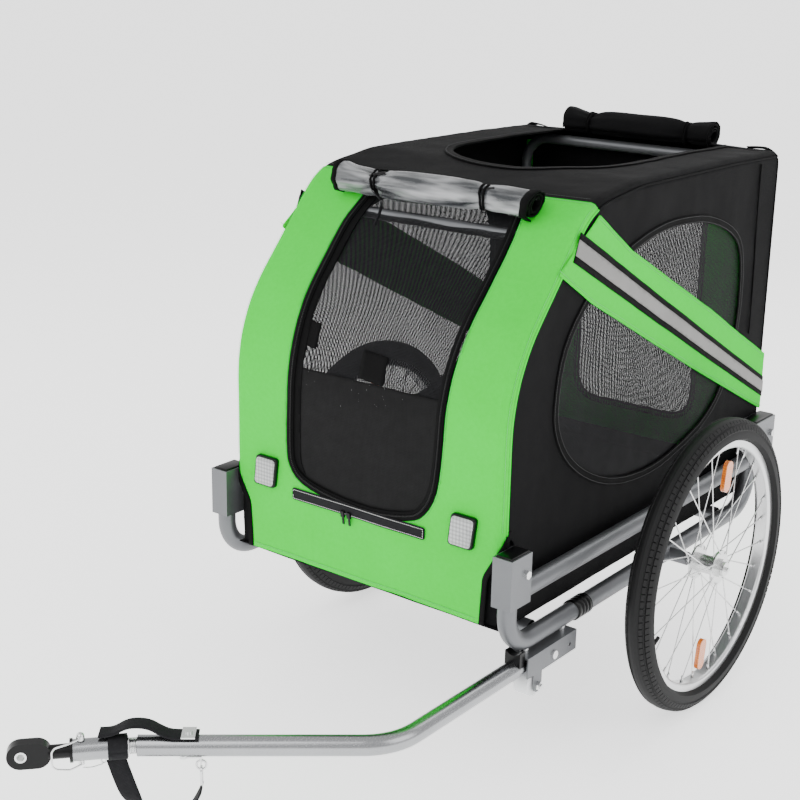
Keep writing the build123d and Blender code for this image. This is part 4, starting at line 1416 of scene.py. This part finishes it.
# a keeper pushed over a rail
def sleeveRound(name, rail, yFrom, yTo, thickness, material, slotName, grooves=0):
    low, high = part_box(rail)
    middle = Vector(((low.x + high.x) / 2, 0, axleZ))
    bm = bmesh.new()
    radius = 0.014 + thickness
    section = [(yFrom, 0.0138), (yFrom, radius - 0.0006), (yFrom + 1, radius)]
    count = max(1, grooves)
    for index in range(count):
        start = yFrom + 1 + (yTo - yFrom - 2) * index / count
        end = yFrom + 1 + (yTo - yFrom - 2) * (index + 1) / count
        if grooves:
            section += [
                (start + 1.2, radius), (end - 2.0, radius), (end - 1.4, radius - 0.0008),
                (end - 0.2, radius - 0.0008)
            ]
    section += [(yTo - 1, radius), (yTo, radius - 0.0006), (yTo, 0.0138)]
    rim = [bm.verts.new((middle.x, y / 1000 + axleY, middle.z + r)) for y, r in section]
    edges = [bm.edges.new(pair) for pair in zip(rim, rim[1:])]
    bmesh.ops.spin(bm, geom=rim + edges, cent=middle, axis=(0, 1, 0), angle=2 * pi, steps=28, use_merge=True)
    bmesh.ops.recalc_face_normals(bm, faces=bm.faces)
    piece = newPiece(name, bm, material, slotName)
    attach(piece, "frame")


for name in ("left", "right"):
    sleeveRound(
        "rail_keeper_" + name, "lower_rail_" + name, -292, -254, 0.0022, blackNylon, "black_plastic",
        grooves=4
    )


def bracketPlug(name, side, pivotY):  # moulded plug in the open top of a corner bracket
    low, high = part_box("front_brackets" if pivotY < 0 else "rear_brackets")
    y0, y1 = low.y + 0.003, high.y - 0.001
    x0, x1 = side * 0.2601, side * 0.2879
    bm = bmesh.new()
    middle = Vector(((x0 + x1) / 2, (y0 + y1) / 2, high.z - 0.002))
    size = (abs(x1 - x0), y1 - y0, 0.009)
    bmesh.ops.create_cube(bm, size=1, matrix=Matrix.Translation(middle) @ Matrix.Diagonal((*size, 1)))
    bmesh.ops.bevel(bm, geom=bm.edges[:], offset=0.0025, segments=3, profile=0.5, affect="EDGES", material=-1)
    piece = newPiece(name, bm, blackNylon, "black_plastic")
    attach(piece, "frame")


for side, name in ((1, "left"), (-1, "right")):
    bracketPlug("front_bracket_plug_" + name, side, -400)
    bracketPlug("rear_bracket_plug_" + name, side, 400)
print("reflectors, keepers and plugs fitted")

# wheels: treaded tyres, spoke nipples, valves

wheel = {"x": 0.352, "spokes": 28, "seat": 0.1905, "valveAt": radians(205)}
tyre = {"outer": 0.246, "seat": 0.213, "half": 0.022, "steps": 132, "tread": 0.0022, "groove": 0.0009}


def makeTyre(side, name):
    middle = Vector((side * wheel["x"], axleY, axleZ))
    reach = tyre["outer"] - tyre["tread"] - tyre["seat"]
    angles = [-90, -82, -74, -66, -48, -42, -26, -20, -7, 7, 20, 26, 42, 48, 66, 74, 82, 90]
    bm = bmesh.new()
    bead = tyre["seat"] - 0.006
    crown = [(tyre["seat"] + reach * cos(radians(a)), tyre["half"] * sin(radians(a)) * 0.965) for a in angles]
    section = [(bead, -0.0095)] + crown + [(bead, 0.0095)]
    rim = [bm.verts.new(middle + Vector((x, 0, r))) for r, x in section]
    edges = [bm.edges.new(pair) for pair in zip(rim, rim[1:] + rim[:1])]
    bmesh.ops.spin(
        bm, geom=rim + edges, cent=middle, axis=(1, 0, 0), angle=2 * pi, steps=tyre["steps"], use_merge=True
    )
    bmesh.ops.remove_doubles(bm, verts=bm.verts, dist=1e-6)
    bmesh.ops.recalc_face_normals(bm, faces=bm.faces)
    blocks = []
    for face in bm.faces:
        here = face.calc_center_median() - middle
        radius = hypot(here.y, here.z)
        lean = degrees(atan2(here.x / tyre["half"], max(1e-6, (radius - tyre["seat"]) / reach)))
        if radius > tyre["seat"] and any(
            low < abs(lean) < high for low, high in ((48, 66), (26, 42), (0, 7))
        ):
            blocks.append(face)
    bmesh.ops.inset_individual(bm, faces=blocks, thickness=tyre["groove"], depth=0.0, use_even_offset=True)
    for face in blocks:
        for vert in face.verts:
            here = vert.co - middle
            share = 1 - tyre["seat"] / hypot(here.y, here.z)
            outward = Vector((here.x * 0.9, here.y * share, here.z * share)).normalized()
            vert.co += outward * tyre["tread"]
    piece = newPiece("tyre_tread_" + name, bm, tyreRubber, "tyre_rubber", smooth=False)
    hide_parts("tyre_" + name)
    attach(piece, "wheel_" + name)


def makeNipples(side, name):
    middle = Vector((side * wheel["x"], axleY, axleZ))
    bm = bmesh.new()
    pairTurn = 720 / wheel["spokes"]  # degrees between two spokes of one flange
    for index in range(wheel["spokes"]):
        flange = 1 if index % 2 else -1
        rank = index // 2
        lean = pairTurn if rank % 2 else -pairTurn
        angle = radians((rank + 0.5) * pairTurn + flange * pairTurn / 4 + lean)
        outward = Vector((0, cos(angle), sin(angle)))
        proud = 3.2 if rank % 2 else -3.2
        foot = middle + Vector((side * (flange * 3 + proud * 0.6) / 1000, 0, 0)) + outward * wheel["seat"]
        turn = outward.to_track_quat("Z", "Y").to_matrix().to_4x4()
        bmesh.ops.create_cone(
            bm, cap_ends=True, segments=8, radius1=0.0017, radius2=0.0024, depth=0.011,
            matrix=Matrix.Translation(foot) @ turn
        )
    piece = newPiece("spoke_nipples_" + name, bm, brightZinc, "zinc")
    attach(piece, "wheel_" + name)
    stem = Vector((0, cos(wheel["valveAt"]), sin(wheel["valveAt"])))
    line = [middle + stem * reach for reach in (0.203, 0.192, 0.182, 0.170)]
    valve = tubePiece("valve_" + name, [line], 0.0032, blackNylon, "black_plastic", rings=3)
    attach(valve, "wheel_" + name)


for side, name in ((1, "left"), (-1, "right")):
    makeTyre(side, name)
    makeNipples(side, name)
print("tyres and nipples made")

# hitch: coil spring, strap over the sleeve


def makeSpring():
    coils, steps, reach, wire = 4.4, 16, 9.8, 0.0013
    springHalf = hitch["springHalf"]
    line = []
    for index in range(int(coils * steps) + 1):
        angle = 2 * pi * index / steps
        ahead = 1.2 - springHalf + (2 * springHalf - 2.4) * index / (coils * steps)
        line.append(onHead(ahead, reach * cos(angle), reach * sin(angle)))
    piece = tubePiece("hitch_coil", [line], wire, brightZinc, "zinc", rings=3)
    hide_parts("hitch_spring")
    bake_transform(piece)


makeSpring()
overRoute = [
    (79, 15.8), (60, 15.8), (42, 16.2), (30, 22), (16, 31), (0, 33), (-14, 31), (-28, 22), (-38, 19),
    (-49, 19)
]
overStrap = lineOf([onBar(distance, 0, up) for distance, up in overRoute])


def overSide(index):
    return (barSide * 0.96 + headSide * 0.04).normalized()


strapTop = ribbonPiece(
    "strap_over_spring", overStrap, strap["width"], overSide, webbingWeave, "webbing", strap["thickness"]
)
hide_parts("strap_top")
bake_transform(strapTop)
wrapLine = [onHead(19.5, 15.6 * cos(2 * pi * k / 20), 15.6 * sin(2 * pi * k / 20)) for k in range(21)]
strapWrap = ribbonPiece(
    "strap_round_sleeve", wrapLine, strap["width"], lambda index: headAhead, webbingWeave, "webbing",
    strap["thickness"]
)
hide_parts("strap_wrap")
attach(strapWrap, "hitch_head")
print("hitch spring and strap made")

# finishes of the CAD nodes that stay

kept = {
    "powder": [
        "lower_rail_left", "lower_rail_right", "upper_rails", "cross_tubes", "axle_sockets", "front_brackets",
        "rear_brackets", "front_hoop", "rear_hoop", "drawbar_bracket"
    ],
    "alloy": ["drawbar", "hitch_sleeve"],
    "rims": ["rim_left", "rim_right"],
    "zinc": [
        "hub_left", "hub_right", "spokes_left", "spokes_right", "quick_release_axle_left",
        "quick_release_axle_right", "release_button_left", "release_button_right", "pivot_bolts",
        "bracket_screws", "drawbar_bolt", "roller_bolt", "coupler_bush", "hitch_pin", "pin_bail",
        "pin_tether", "strap_crimp", "ring_screw", "ring_tab", "d_ring", "snap_hook"
    ],
    "black": ["coupler", "hitch_collar", "drawbar_saddle"],
    "white": ["roller"],
    "amber": ["spoke_reflectors_left", "spoke_reflectors_right"],
    "board": ["floor_board"],
}
finishes = {
    "powder": powderCoat, "alloy": brushedAlloy, "rims": rimAlloy, "zinc": brightZinc, "black": blackNylon,
    "white": whiteNylon, "amber": amberLens, "board": boardPlastic
}
for finish, names in kept.items():
    for name in names:
        nodes[name].data.materials.clear()
        nodes[name].data.materials.append(finishes[finish])
print("finishes put on", sum(len(names) for names in kept.values()), "CAD nodes")
